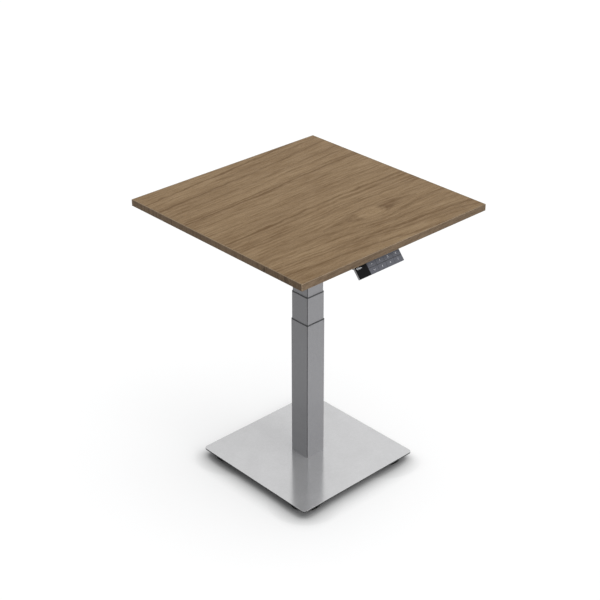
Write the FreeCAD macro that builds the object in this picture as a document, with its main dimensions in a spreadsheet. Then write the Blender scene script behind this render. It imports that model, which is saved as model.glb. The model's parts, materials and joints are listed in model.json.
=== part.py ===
import FreeCAD, Part
import math
import os
import re
import Sketcher
from FreeCAD import Placement, Rotation, Vector

TOLERANCE = 1e-3
ARC_SHARE = 0.45
VOLUME_TOLERANCE = 0.01

# A height-adjustable pedestal table: a square top on a column of three square tubes,
# lifted by two coaxial screw drives, on a thin square base plate with four round pads.
# Millimetres. The origin is on the floor, on the column's axis; +Z is up and the
# handset is under the top's front edge, on the -Y side.

doc = FreeCAD.newDocument("pedestal_table")
sizes = doc.addObject("Spreadsheet::Sheet", "sizes")
levels = doc.addObject("Spreadsheet::Sheet", "levels")

# ---------------------------------------------------------------- driving dimensions
DRIVING = [
    # the top
    ("table_height", 935, "floor to the top's upper face, as shown"),
    ("top_side", 762, "side of the square top"),
    ("top_thickness", 22, "thickness of the top"),
    ("edging", 2, "thickness of the edging strips"),
    ("arris", 1.2, "rounding of the edging's long edges"),
    # the base
    ("base_side", 493, "side of the square base plate"),
    ("base_thickness", 5, "thickness of the base plate"),
    ("base_corner", 13, "corner radius of the base plate"),
    ("base_arris", 0.8, "rounding of the base plate's upper edge"),
    ("pad_radius", 51, "radius of a foot pad"),
    ("pad_thickness", 21, "height of a foot pad"),
    ("pad_inset", 64.5, "base plate's edge to a pad's centre"),
    ("pad_arris", 1.5, "rounding of a pad's lower edge"),
    # the column
    ("outer_side", 75.6, "side of the outer tube"),
    ("tube_wall", 1.2, "wall of each tube"),
    ("tube_gap", 0.4, "gap between one tube and the next, each side"),
    ("corner_radius", 2.6, "outside corner radius of each tube"),
    ("collar_height", 3.5, "height of a collar"),
    ("collar_fit", 0.1, "collar's running gap to the tube inside it"),
    ("outer_top", 529, "floor to the top of the outer collar"),
    ("middle_show", 99, "length of the middle stage that shows above the outer one"),
    ("middle_length", 489.5, "length of the middle tube"),
    ("inner_length", 633, "length of the inner tube"),
    ("glide_width", 30, "width of a glide pad"),
    ("glide_height", 40, "height of a glide pad"),
    ("glide_rim", 2, "rim of a glide pad outside its window, each side"),
    ("glide_rise", 18, "tube's lower end to the lower glide pads"),
    ("glide_spacing", 140, "lower to upper row of glide pads"),
    ("running_fit", 0.05, "radial clearance of running fits"),
    ("seat_fit", 0.05, "clearance of pieces set into each other"),
    # the base's screws
    ("foot_screw", 4, "radius of a foot plate screw"),
    ("foot_screw_inset", 14, "outer tube's face to a foot plate screw"),
    ("foot_screw_cover", 2, "foot plate left above its screws"),
    ("spindle_screw", 3, "radius of the spindle's screw"),
    ("spindle_screw_reach", 15, "reach of the spindle's screw above the base plate"),
    ("countersink_land", 1, "base plate's land above a countersink"),
    # the lift drive
    ("foot_plate", 10, "thickness of the foot plate in the outer tube"),
    ("spindle_radius", 6, "radius of the fixed spindle"),
    ("spindle_neck", 5, "radius of the spindle's neck in the foot plate"),
    ("spindle_length", 284, "length of the fixed spindle above the foot plate"),
    ("bracket_rise", 12, "middle tube's lower end to its bracket"),
    ("bracket_thickness", 12, "thickness of the middle bracket"),
    ("nut_flange_radius", 13.4, "radius of the spindle nut's flange"),
    ("nut_flange", 8, "thickness of the spindle nut's flange"),
    ("nut_neck", 10, "radius of the spindle nut's neck"),
    ("nut_bearing", 4, "height of the bearing on the spindle nut"),
    ("neck_stand", 0.3, "neck's stand above the middle bracket"),
    ("hexagon", 17, "drive tube's width across flats"),
    ("drive_bore", 6.5, "radius of the drive tube's bore"),
    ("drive_length", 422, "length of the drive tube's hexagon"),
    ("drive_foot_radius", 12.5, "radius of the drive tube's foot"),
    ("drive_foot", 3.7, "thickness of the drive tube's foot"),
    ("pipe_bore", 14, "bore radius of the support pipe"),
    ("pipe_wall", 3, "wall of the support pipe"),
    ("pipe_length", 441, "length of the support pipe"),
    ("lift_nut_radius", 20, "radius of the lift nut"),
    ("lift_nut", 14, "height of the lift nut"),
    ("screw_radius", 13, "radius of the drive screw"),
    ("screw_bore", 10.5, "bore radius of the drive screw"),
    ("screw_length", 288, "length of the drive screw above its driver"),
    ("screw_cap", 10, "solid length at the drive screw's upper end"),
    ("shank_radius", 7.5, "radius of the drive screw's shank"),
    ("shank_length", 35, "length of the drive screw's shank"),
    ("driver_height", 12, "height of the hexagon driver below the screw"),
    ("driver_spigot", 6, "length of the driver's spigot in the screw"),
    ("driver_fit", 0.1, "clearance across flats in the driver, each side"),
    ("bearing_radius", 16, "radius of the thrust bearing"),
    ("bearing_height", 9, "height of the thrust bearing"),
    ("plate_drop", 162, "inner tube's upper end to the bearing plate's upper face"),
    ("bearing_plate", 10, "thickness of the bearing plate"),
    ("case_side", 54, "side of the gear case"),
    ("case_height", 46, "height of the gear case"),
    ("case_corner", 6, "corner radius of the gear case"),
    ("motor_radius", 21, "radius of the motor"),
    ("motor_length", 95, "length of the motor"),
    ("motor_arris", 2, "rounding of the motor's upper edge"),
    ("case_screw_pitch", 40, "spacing of the case screws"),
    ("case_screw", 2.5, "radius of a case screw"),
    ("case_screw_head", 4.25, "radius of a case screw's head"),
    ("case_screw_reach", 12, "reach of a case screw into the gear case"),
    # under the top
    ("head_side", 200, "side of the head plate"),
    ("head_thickness", 6, "thickness of the head plate"),
    ("head_bore", 28, "radius of the head plate's cable hole"),
    ("arm_pitch", 170, "spacing of the two arms"),
    ("arm_width", 30, "width of an arm"),
    ("arm_height", 16, "height of an arm"),
    ("arm_wall", 2, "wall of an arm"),
    ("arm_length", 560, "length of an arm"),
    ("head_screw", 3, "radius of a head plate screw"),
    ("head_screw_head", 5.4, "radius of a head plate screw's head"),
    ("head_screw_end", 2, "head plate screw's end above the arm's wall"),
    ("head_screw_reach", 80, "axis to the outer head plate screws"),
    ("head_screw_near", 40, "axis to the inner head plate screws"),
    ("wood_screw", 2, "radius of a wood screw"),
    ("wood_screw_depth", 14, "depth of a wood screw in the board"),
    ("wood_screw_head", 4, "radius of a wood screw's head"),
    ("screw_head", 2.5, "height of a screw head"),
    ("driver_room", 2, "access hole's clearance round a screw head"),
    ("arm_screw_reach", 250, "axis to the outer arm screws"),
    ("arm_screw_near", 130, "axis to the inner arm screws"),
    # the control box
    ("control_width", 94, "width of the control box"),
    ("control_depth", 150, "depth of the control box"),
    ("control_height", 34, "height of the control box"),
    ("control_wall", 2, "wall of the control box"),
    ("control_start", 130, "axis to the control box's front wall"),
    ("lug", 14, "reach of a fixing lug"),
    ("lug_width", 24, "width of a fixing lug"),
    ("lug_thickness", 3, "thickness of a fixing lug"),
    ("board_thickness", 1.6, "thickness of a circuit board"),
    ("board_margin", 4, "control box's side wall to its board"),
    ("board_front", 10, "control box's front wall to its board"),
    ("board_free", 50, "control box's depth that its board leaves free"),
    ("coil_width", 36, "width of the board's coil"),
    ("coil_depth", 40, "depth of the board's coil"),
    ("coil_height", 20, "height of the board's coil"),
    ("coil_x", -20, "board's centre line to the coil"),
    ("can_radius", 9, "radius of the board's capacitor"),
    ("can_height", 22, "height of the board's capacitor"),
    ("can_x", 22, "board's centre line to the capacitor"),
    ("can_y", 10, "board's centre to the capacitor, rearwards"),
    ("inlet_width", 24, "width of the mains inlet"),
    ("inlet_height", 16, "height of the mains inlet"),
    ("inlet_depth", 20, "depth of the mains inlet"),
    ("inlet_side", 4, "inlet's rim beside its mouth"),
    ("inlet_lip", 3.5, "inlet's rim above and below its mouth"),
    ("inlet_back", 6, "thickness of the inlet's back"),
    ("pin_radius", 1.2, "radius of an inlet pin"),
    ("pin_pitch", 8.6, "spacing of the inlet pins"),
    ("pin_recess", 2, "inlet's rear face to its pins"),
    ("lead_plug", 12, "side of a lead's plug"),
    ("motor_lead", 2.5, "radius of the motor lead"),
    ("handset_lead", 2, "radius of the handset lead"),
    ("lead_drop", 8, "board to the leads' centre line"),
    ("motor_lead_x", 18, "column axis to the motor lead"),
    ("handset_lead_x", -50, "column axis to the handset lead"),
    ("clip", 12, "side of a lead clip"),
    ("clip_floor", 2, "clip's wall below the lead"),
    ("clip_front", -230, "column axis to the front clip"),
    ("clip_middle", -150, "column axis to the middle clip"),
    ("clip_rear", 50, "column axis to the rear clip"),
    ("lead_stub", 14, "gland to the handset lead's first bend"),
    ("lead_run", 27, "handset lead's level run behind the housing"),
    ("lead_climb", 28, "handset lead's run rearwards as it climbs to the clips"),
    # the handset
    ("handset_right", 10.5, "column axis to the handset's right end"),
    ("handset_width", 179, "width of the handset"),
    ("window_width", 45, "width of the display window"),
    ("face_inset", 16, "top's front edge to the handset face's upper edge"),
    ("face_length", 45.2, "length of the face down its slope"),
    ("face_tilt", 50, "slope of the face in degrees"),
    ("housing_depth", 8, "depth of the housing, square to its face"),
    ("housing_wall", 1.2, "wall of the housing"),
    ("fascia", 1.5, "thickness of the fascia"),
    ("joint_gap", 0.1, "gap between fascia, window and board"),
    ("key_rim", 2, "fascia's rim below and beside the keys"),
    ("key_row", 17, "height of the fascia's opening for a row of keys"),
    ("key_bar", 1.4, "fascia's bar between the key rows"),
    ("key_gap", 0.5, "gap between neighbouring keys"),
    ("key_fit", 0.1, "gap between a key and the fascia"),
    ("key_flange", 0.7, "reach of a key's flange behind the fascia"),
    ("key_flange_thickness", 1, "thickness of a key's flange"),
    ("key_travel", 0.8, "travel of a key"),
    ("switch_radius", 3, "radius of a key switch"),
    ("switch_gap", 0.95, "key to its switch"),
    ("switch_height", 1.2, "height of a key switch"),
    ("board_gap", 0.5, "handset board's edge to the housing's wall"),
    ("post", 4, "side of a housing post"),
    ("post_inset", 3, "housing's wall to a post"),
    ("module_end", 5, "window's ends to the display module"),
    ("module_edge", 6, "face's edges to the display module"),
    ("mount_depth", 54, "depth of the handset's mounting flange"),
    ("mount_thickness", 3, "thickness of the mounting flange"),
    ("mount_screw_inset", 27.6, "handset's end to a mounting screw"),
    ("mount_screw_edge", 12, "mounting flange's rear edge to its screws"),
    ("rib_thickness", 3, "thickness of a rib below the flange"),
    ("rib_height", 12, "height of a rib"),
    ("rib_depth", 30, "depth of a rib"),
    ("gland_radius", 4, "radius of the lead's gland"),
    ("gland_length", 5, "length of the lead's gland"),
    ("gland_rise", 32, "face's lower edge to the gland, along the slope"),
]

# ---------------------------------------------------------------- levels and places
DERIVED = [
    ("base_top", "pad_thickness + base_thickness"),
    ("underside", "table_height - top_thickness"),
    ("head_level", "underside - arm_height"),
    ("inner_top", "head_level - head_thickness"),
    ("inner_bottom", "inner_top - inner_length"),
    ("outer_length", "outer_top - collar_height - base_top"),
    ("middle_top", "outer_top + middle_show"),
    ("middle_bottom", "middle_top - collar_height - middle_length"),
    ("middle_side", "outer_side - 2 * tube_wall - 2 * tube_gap"),
    ("inner_side", "middle_side - 2 * tube_wall - 2 * tube_gap"),
    ("foot_top", "base_top + foot_plate"),
    ("bracket_level", "middle_bottom + bracket_rise"),
    ("bracket_top", "bracket_level + bracket_thickness"),
    ("nut_level", "bracket_level - nut_bearing - nut_flange"),
    ("neck_top", "bracket_top + neck_stand"),
    ("pipe_top", "bracket_top + pipe_length"),
    ("plate_level", "inner_top - plate_drop - bearing_plate"),
    ("screw_top", "plate_level - bearing_height"),
    ("screw_level", "screw_top - screw_length"),
    ("driver_level", "screw_level - driver_height"),
    ("case_level", "plate_level + bearing_plate"),
    ("motor_level", "case_level + case_height"),
    ("motor_top", "motor_level + motor_length"),
    ("lead_level", "underside - lead_drop"),
    ("handset_left", "handset_right - handset_width"),
    ("window_right", "handset_left + window_width"),
    ("face_top_y", "face_inset - top_side / 2"),
    ("face_low_y", "face_top_y - face_length * cos(face_tilt * 1deg)"),
    ("face_low_z", "underside - face_length * sin(face_tilt * 1deg)"),
    ("key_pitch", "(handset_right - window_right - 2 * key_rim) / 4"),
    ("key_foot", "fascia + key_flange_thickness + key_fit"),
    ("switch_top", "key_foot + switch_gap"),
    ("circuit_level", "switch_top + switch_height"),
    ("control_level", "underside - control_height"),
    ("control_end", "control_start + control_depth"),
    ("inlet_level", "control_level + (control_height - inlet_height) / 2"),
    ("board_top", "control_level + control_wall + board_thickness"),
]

SHEET_OF = {}


def formula(text):
    """The text with each alias under its sheet's name."""
    return re.sub(r"[a-z_]+", lambda word: SHEET_OF.get(word.group(), word.group()), str(text))


def fill_sheets():
    for row, (alias, value, note) in enumerate(DRIVING, 1):
        sizes.set(f"A{row}", note)
        sizes.set(f"B{row}", str(value))
        sizes.setAlias(f"B{row}", alias)
        SHEET_OF[alias] = f"sizes.{alias}"
    doc.recompute()
    for row, (alias, text) in enumerate(DERIVED, 1):
        words = re.sub(r"[a-z_]+", lambda word: local_name(word.group()), text)
        levels.set(f"B{row}", "=" + words)
        levels.setAlias(f"B{row}", alias)
        SHEET_OF[alias] = f"levels.{alias}"
    doc.recompute()


def local_name(word):
    """A name as a cell of the levels sheet writes it."""
    name = SHEET_OF.get(word, word)
    return name.removeprefix("levels.")


def number(text):
    """The value of a formula now, in millimetres or degrees."""
    value = sizes.evalExpression(formula(text))
    return float(getattr(value, "Value", value))


fill_sheets()

# ---------------------------------------------------------------- construction helpers
nodes = {}


def node(name, item):
    """Make the item a sub-part: its label names its file."""
    item.Label = name
    nodes[name] = item
    return item


def bind(item, **formulas):
    """Bind properties such as Length, or x, y, z of the placement, to the sheets."""
    for prop, text in formulas.items():
        path = f"Placement.Base.{prop}" if prop in ("x", "y", "z") else prop
        item.setExpression(path, formula(text))
    return item


def box(length, width, height, x="0", y="0", z="0"):
    """A box with its low corner at x, y, z."""
    item = doc.addObject("Part::Box", "box")
    return bind(item, Length=length, Width=width, Height=height, x=x, y=y, z=z)


def centred_box(length, width, height, x="0", y="0", z="0"):
    """A box centred on x and y that stands on z."""
    return box(length, width, height, f"{x} - ({length}) / 2", f"{y} - ({width}) / 2", z)


def cylinder(radius, height, x="0", y="0", z="0"):
    item = doc.addObject("Part::Cylinder", "cylinder")
    return bind(item, Radius=radius, Height=height, x=x, y=y, z=z)


def hexagon_prism(flats, height, z="0"):
    item = doc.addObject("Part::Prism", "hexagon_prism")
    item.Polygon = 6
    return bind(item, Circumradius=f"({flats}) / 2 / cos(30deg)", Height=height, z=z)


def fuse(*items):
    item = doc.addObject("Part::MultiFuse", "fused")
    item.Shapes = list(items)
    return item


def group(items):
    item = doc.addObject("Part::Compound", "group")
    item.Links = list(items)
    return item


def cut(base, *tools):
    item = doc.addObject("Part::Cut", "cut")
    item.Base = base
    item.Tool = tools[0] if len(tools) == 1 else group(tools)
    return item


def ring(outer, inner, height, z="0"):
    """A round ring about the column's axis."""
    return cut(cylinder(outer, height, z=z), cylinder(inner, height, z=z))


def turned(item, quarter):
    """The item turned about the column's axis by quarter turns."""
    item.Placement = Placement(Vector(0, 0, 0), Rotation(Vector(0, 0, 1), 90 * quarter))
    return item


def on_face(item):
    """Put an item made flat, with x along the handset, y up the slope and z out of the
    face, onto the inclined face; its zero is the lower edge, under the column axis."""
    holder = group([item])
    holder.Placement = Placement(Vector(0, 0, 0), Rotation(Vector(1, 0, 0), number("face_tilt")))
    holder.setExpression("Placement.Rotation.Angle", formula("face_tilt"))
    return bind(holder, y="face_low_y", z="face_low_z")


def rounded(base, radius, wanted):
    """A fillet on the base's edges that the test picks."""
    doc.recompute()
    item = doc.addObject("Part::Fillet", "rounded")
    item.Base = base
    value = number(radius)
    picked = [i for i, edge in enumerate(base.Shape.Edges, 1) if wanted(edge)]
    item.Edges = [(i, value, value) for i in picked]
    return item


# ---------------------------------------------------------------- sketches and bodies
def body(name):
    return node(name, doc.addObject("PartDesign::Body", name))


def sketch(owner, name, role="XY_Plane", offset=None):
    item = owner.newObject("Sketcher::SketchObject", name)
    plane = [f for f in owner.Origin.OriginFeatures if f.Role == role][0]
    item.AttachmentSupport = (plane, [""])
    item.MapMode = "FlatFace"
    if offset:
        item.setExpression("AttachmentOffset.Base.z", formula(offset))
    return item


def dimension(item, kind, text, *places):
    """A driving constraint bound to a formula."""
    index = item.addConstraint(Sketcher.Constraint(kind, *places, number(text)))
    item.setExpression(f"Constraints[{index}]", formula(text))


def locate(item, geometry, point, x, y):
    """Dimension a point from the sketch's origin, or hold it on the axis."""
    for kind, axis, text in (("DistanceX", -2, x), ("DistanceY", -1, y)):
        if text == "0":
            item.addConstraint(Sketcher.Constraint("PointOnObject", geometry, point, axis))
        else:
            dimension(item, kind, text, -1, 1, geometry, point)


def rectangle(item, low_x, low_y, high_x, high_y):
    x0, y0, x1, y1 = (number(t) for t in (low_x, low_y, high_x, high_y))
    corners = [Vector(x0, y0, 0), Vector(x1, y0, 0), Vector(x1, y1, 0), Vector(x0, y1, 0)]
    first = item.GeometryCount
    for i in range(4):
        item.addGeometry(Part.LineSegment(corners[i], corners[(i + 1) % 4]))
    for i in range(4):
        item.addConstraint(Sketcher.Constraint("Coincident", first + i, 2, first + (i + 1) % 4, 1))
        kind = "Vertical" if i % 2 else "Horizontal"
        item.addConstraint(Sketcher.Constraint(kind, first + i))
    locate(item, first, 1, low_x, low_y)
    locate(item, first + 2, 1, high_x, high_y)


def rounded_square(item, side, radius):
    """A square about the sketch's origin with four equal corner arcs."""
    half = number(side) / 2
    r = number(radius)
    flat = half - r
    first = item.GeometryCount
    for i in range(4):
        turn = Rotation(Vector(0, 0, 1), 90 * i)
        start = turn.multVec(Vector(-flat, -half, 0))
        end = turn.multVec(Vector(flat, -half, 0))
        centre = turn.multVec(Vector(flat, -flat, 0))
        item.addGeometry(Part.LineSegment(start, end))
        low = math.radians(90 * i - 90)
        rim = Part.Circle(centre, Vector(0, 0, 1), r)
        item.addGeometry(Part.ArcOfCircle(rim, low, low + math.pi / 2))
    for i in range(4):
        line = first + 2 * i
        arc = line + 1
        following = first + (2 * i + 2) % 8
        item.addConstraint(Sketcher.Constraint("Tangent", line, 2, arc, 1))
        item.addConstraint(Sketcher.Constraint("Tangent", arc, 2, following, 1))
        kind = "Vertical" if i % 2 else "Horizontal"
        item.addConstraint(Sketcher.Constraint(kind, line))
        if i:
            item.addConstraint(Sketcher.Constraint("Equal", first + 1, arc))
    dimension(item, "Radius", radius, first + 1)
    reach = f"({side}) / 2 - ({radius})"
    locate(item, first + 1, 3, reach, f"-({reach})")
    locate(item, first + 5, 3, f"-({reach})", reach)


def pad(owner, profile, length, side="One side"):
    item = owner.newObject("PartDesign::Pad", "pad")
    item.Profile = profile
    item.SideType = side
    item.setExpression("Length", formula(length))
    return item


def pocket_through(owner, profile):
    """A pocket through all, to both sides of its sketch."""
    doc.recompute()
    before = owner.Tip.Shape.Volume
    item = owner.newObject("PartDesign::Pocket", "pocket")
    item.Profile = profile
    item.Type = "ThroughAll"
    item.SideType = "Symmetric"
    doc.recompute()
    if item.Shape.Volume >= before:
        raise RuntimeError(f"{owner.Label}: the pocket cuts nothing")


def fillet(owner, radius, wanted):
    """A PartDesign fillet on the edges of the tip that the test picks."""
    doc.recompute()
    base = owner.Tip
    picked = [f"Edge{i}" for i, edge in enumerate(base.Shape.Edges, 1) if wanted(edge)]
    item = owner.newObject("PartDesign::Fillet", "fillet")
    item.Base = (base, picked)
    item.setExpression("Radius", formula(radius))
    return item


def block(name, side, radius, height, level):
    """An upright block of rounded square section about the column's axis."""
    owner = doc.addObject("PartDesign::Body", name)
    rounded_square(sketch(owner, f"{name}_outline"), side, radius)
    pad(owner, owner.Group[-1], height)
    return bind(owner, z=level)


def plate_inside(name, side, height, level):
    """A plate that fills a tube of that outer side."""
    inside = f"({side}) - 2 * tube_wall - 2 * seat_fit"
    return block(name, inside, "corner_radius - tube_wall", height, level)


def at_height(edge, z):
    return abs(edge.BoundBox.ZMin - z) < TOLERANCE and abs(edge.BoundBox.ZMax - z) < TOLERANCE


# ---------------------------------------------------------------- the base
FOUR_CORNERS = (("front_left", -1, -1), ("front_right", 1, -1), ("rear_right", 1, 1), ("rear_left", -1, 1))
FOOT_SCREW_REACH = "outer_side / 2 - foot_screw_inset"


def countersunk_screw(radius, length, x="0", y="0", clearance="0"):
    """A countersunk screw or its hole, from the base plate's lower face upwards."""
    head = doc.addObject("Part::Cone", "screw_head")
    top = f"{radius} + {clearance}"
    depth = "base_thickness - countersink_land"
    bind(head, Radius1=f"{top} + {depth}", Radius2=top, Height=depth, x=x, y=y, z="pad_thickness")
    return fuse(head, cylinder(top, length, x, y, "pad_thickness"))


def base_screws(clearance="0"):
    grip = "base_thickness + foot_plate - foot_screw_cover"
    corners = [
        countersunk_screw("foot_screw", grip, f"{sx} * ({FOOT_SCREW_REACH})", f"{sy} * ({FOOT_SCREW_REACH})",
                          clearance)
        for _, sx, sy in FOUR_CORNERS
    ]
    reach = "base_thickness + spindle_screw_reach"
    return corners + [countersunk_screw("spindle_screw", reach, clearance=clearance)]


def make_base():
    plate = block("base_blank", "base_side", "base_corner", "base_thickness", "pad_thickness")
    thickness = number("base_thickness")
    fillet(plate, "base_arris", lambda edge: at_height(edge, thickness))
    node("base_plate", cut(plate, group(base_screws("seat_fit"))))
    node("base_screws", group(base_screws()))
    for name, sx, sy in FOUR_CORNERS:
        reach = "(base_side / 2 - pad_inset)"
        disc = cylinder("pad_radius", "pad_thickness", f"{sx} * {reach}", f"{sy} * {reach}")
        node(f"foot_pad_{name}", rounded(disc, "pad_arris", lambda edge: at_height(edge, 0)))


def make_foot():
    """The foot plate that the outer tube stands around, and the spindle on it."""
    blank = plate_inside("foot_blank", "outer_side", "foot_plate", "base_top")
    neck = cylinder("spindle_neck + seat_fit", "foot_plate", z="base_top")
    node("foot_plate", cut(blank, group([neck] + base_screws("seat_fit")[:4])))
    spindle = fuse(
        cylinder("spindle_radius", "spindle_length", z="foot_top"),
        cylinder("spindle_neck", "foot_plate", z="base_top"),
    )
    node("fixed_spindle", cut(spindle, base_screws("seat_fit")[4]))


# ---------------------------------------------------------------- the column
def glides(side):
    """Glide pads of one stage: two rows on its four sides, through the tube's wall."""
    pads = []
    for row in ("glide_rise", "glide_rise + glide_spacing"):
        for quarter in range(4):
            plug = box("tube_wall", "glide_width", "glide_height",
                       f"({side}) / 2 - tube_wall", "-glide_width / 2", row)
            face = box("tube_gap - running_fit", "glide_width + 2 * glide_rim",
                       "glide_height + 2 * glide_rim", f"({side}) / 2",
                       "-glide_width / 2 - glide_rim", f"{row} - glide_rim")
            pads.append(turned(fuse(plug, face), quarter))
    return pads


def tube(name, side, length, level, windows):
    owner = body(name)
    profile = sketch(owner, "tube_profile")
    rounded_square(profile, side, "corner_radius")
    rounded_square(profile, f"({side}) - 2 * tube_wall", "corner_radius - tube_wall")
    pad(owner, profile, length)
    if windows:
        for role in ("XZ_Plane", "YZ_Plane"):
            openings = sketch(owner, "glide_windows", role)
            half = "glide_width / 2 + seat_fit"
            for row in ("glide_rise", "glide_rise + glide_spacing"):
                rectangle(openings, f"-({half})", f"{row} - seat_fit", half,
                          f"{row} + glide_height + seat_fit")
            pocket_through(owner, openings)
    bind(owner, z=level)


def collar(name, side, inner, top):
    owner = body(name)
    profile = sketch(owner, "collar_profile")
    rounded_square(profile, side, "corner_radius")
    rounded_square(profile, f"({inner}) + 2 * collar_fit", "corner_radius")
    pad(owner, profile, "collar_height")
    bind(owner, z=f"{top} - collar_height")


def make_column():
    tube("outer_tube", "outer_side", "outer_length", "base_top", windows=False)
    tube("middle_tube", "middle_side", "middle_length", "middle_bottom", windows=True)
    tube("inner_tube", "inner_side", "inner_length", "inner_bottom", windows=True)
    collar("outer_collar", "outer_side", "middle_side", "outer_top")
    collar("middle_collar", "middle_side", "inner_side", "middle_top")
    for stage in ("middle", "inner"):
        node(f"{stage}_glides", bind(group(glides(f"{stage}_side")), z=f"{stage}_bottom"))


# ---------------------------------------------------------------- the lift drive
def make_middle_drive():
    """Bracket, bearing and support pipe in the middle stage, and its lift nut."""
    blank = plate_inside("bracket_blank", "middle_side", "bracket_thickness", "bracket_level")
    bore = cylinder("nut_neck + running_fit", "bracket_thickness", z="bracket_level")
    node("middle_bracket", cut(blank, bore))
    node("nut_bearing", ring("nut_flange_radius", "nut_neck + running_fit", "nut_bearing",
                             "bracket_level - nut_bearing"))
    node("support_pipe", ring("pipe_bore + pipe_wall", "pipe_bore", "pipe_length", "bracket_top"))
    node("lift_nut", ring("lift_nut_radius", "screw_radius + running_fit", "lift_nut", "pipe_top"))


def make_drive_tube():
    nut = fuse(
        cylinder("nut_flange_radius", "nut_flange", z="nut_level"),
        cylinder("nut_neck", "neck_top - nut_level", z="nut_level"),
    )
    thread = cylinder("spindle_radius + running_fit", "neck_top - nut_level", z="nut_level")
    node("spindle_nut", cut(nut, thread))
    shaft = fuse(
        cylinder("drive_foot_radius", "drive_foot", z="neck_top"),
        hexagon_prism("hexagon", "drive_length + drive_foot", "neck_top"),
    )
    node("drive_tube", cut(shaft, cylinder("drive_bore", "drive_length + drive_foot", z="neck_top")))


def make_drive_screw():
    screw = fuse(
        cylinder("screw_radius", "screw_length", z="screw_level"),
        cylinder("shank_radius", "screw_length + shank_length", z="screw_level"),
    )
    node("drive_screw", cut(screw, cylinder("screw_bore", "screw_length - screw_cap", z="screw_level")))
    hub = fuse(
        cylinder("screw_radius", "driver_height", z="driver_level"),
        cylinder("screw_bore - seat_fit", "driver_height + driver_spigot", z="driver_level"),
    )
    hole = hexagon_prism("hexagon + 2 * driver_fit", "driver_height + driver_spigot", "driver_level")
    node("hexagon_driver", cut(hub, hole))


def square_of(maker, pitch, **sizes_of):
    """Four items at the corners of a square about the axis."""
    reach = f"({pitch}) / 2"
    return [maker(x=f"{sx} * {reach}", y=f"{sy} * {reach}", **sizes_of) for _, sx, sy in FOUR_CORNERS]


def make_motor():
    node("thrust_bearing", ring("bearing_radius", "shank_radius + seat_fit", "bearing_height", "screw_top"))
    shafts = square_of(cylinder, "case_screw_pitch", radius="case_screw",
                       height="bearing_plate + case_screw_reach", z="plate_level")
    heads = square_of(cylinder, "case_screw_pitch", radius="case_screw_head",
                      height="screw_head", z="plate_level - screw_head")
    node("case_screws", group([fuse(a, b) for a, b in zip(shafts, heads)]))
    plate = plate_inside("bearing_plate_blank", "inner_side", "bearing_plate", "plate_level")
    case = block("gear_case_blank", "case_side", "case_corner", "case_height", "case_level")
    for name, blank in (("bearing_plate", plate), ("gear_case", case)):
        holes = square_of(cylinder, "case_screw_pitch", radius="case_screw + seat_fit",
                          height="bearing_plate + case_screw_reach", z="plate_level")
        shank = cylinder("shank_radius + running_fit", "shank_length + running_fit", z="screw_top")
        node(name, cut(blank, group(holes + [shank])))
    can = cylinder("motor_radius", "motor_length", z="motor_level")
    top = number("motor_top")
    node("motor", rounded(can, "motor_arris", lambda edge: at_height(edge, top)))


# ---------------------------------------------------------------- the top and its frame
ARM_SCREW_PLACES = [f"{sign} * {reach}" for reach in ("arm_screw_reach", "arm_screw_near")
                    for sign in (-1, 1)]
HEAD_SCREW_PLACES = [f"{sign} * {reach}" for reach in ("head_screw_reach", "head_screw_near")
                     for sign in (-1, 1)]
ARM_SIDES = (("left", -1), ("right", 1))


def wood_screw(x, y, head_level, clearance="0"):
    """A screw up into the board, or the hole for its shank."""
    length = f"underside - ({head_level}) + wood_screw_depth + {clearance}"
    shank = cylinder(f"wood_screw + {clearance}", length, x, y, head_level)
    if clearance != "0":
        return shank
    return fuse(shank, cylinder("wood_screw_head", "screw_head", x, y, f"{head_level} - screw_head"))


def arm_screw_places():
    return [(f"{side} * arm_pitch / 2", y) for _, side in ARM_SIDES for y in ARM_SCREW_PLACES]


def control_screw_places():
    return [("0", "control_start - lug / 2"), ("0", "control_end + lug / 2")]


def handset_screw_places():
    y = "face_top_y + mount_depth - mount_screw_edge"
    return [("handset_left + mount_screw_inset", y), ("handset_right - mount_screw_inset", y)]


def make_top():
    inner = "top_side - 2 * edging"
    board = centred_box(inner, inner, "top_thickness", z="underside")
    places = arm_screw_places() + control_screw_places() + handset_screw_places()
    holes = [wood_screw(x, y, "underside", "seat_fit") for x, y in places]
    node("table_top", cut(board, group(holes)))
    lies_along = (("front", 0), ("right", 1), ("rear", 2), ("left", 3))
    for name, quarter in lies_along:
        owner = body(f"edging_{name}")
        profile = sketch(owner, "strip_section", "YZ_Plane")
        rectangle(profile, "-top_side / 2", "0", "edging - top_side / 2", "top_thickness")
        pad(owner, profile, "top_side", "Symmetric")
        doc.recompute()
        mitre = sketch(owner, "mitres")
        add_mitres(mitre)
        pocket_through(owner, mitre)
        fillet(owner, "arris", is_long_outer_edge)
        owner.Placement = Placement(Vector(0, 0, 0), Rotation(Vector(0, 0, 1), 90 * quarter))
        bind(owner, z="underside")


def is_long_outer_edge(edge):
    """An edge along the outer face of a strip that lies at the front."""
    reach = edge.BoundBox
    outer = -number("top_side") / 2
    return max(abs(reach.YMin - outer), abs(reach.YMax - outer)) < TOLERANCE and reach.XLength > -outer


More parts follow.
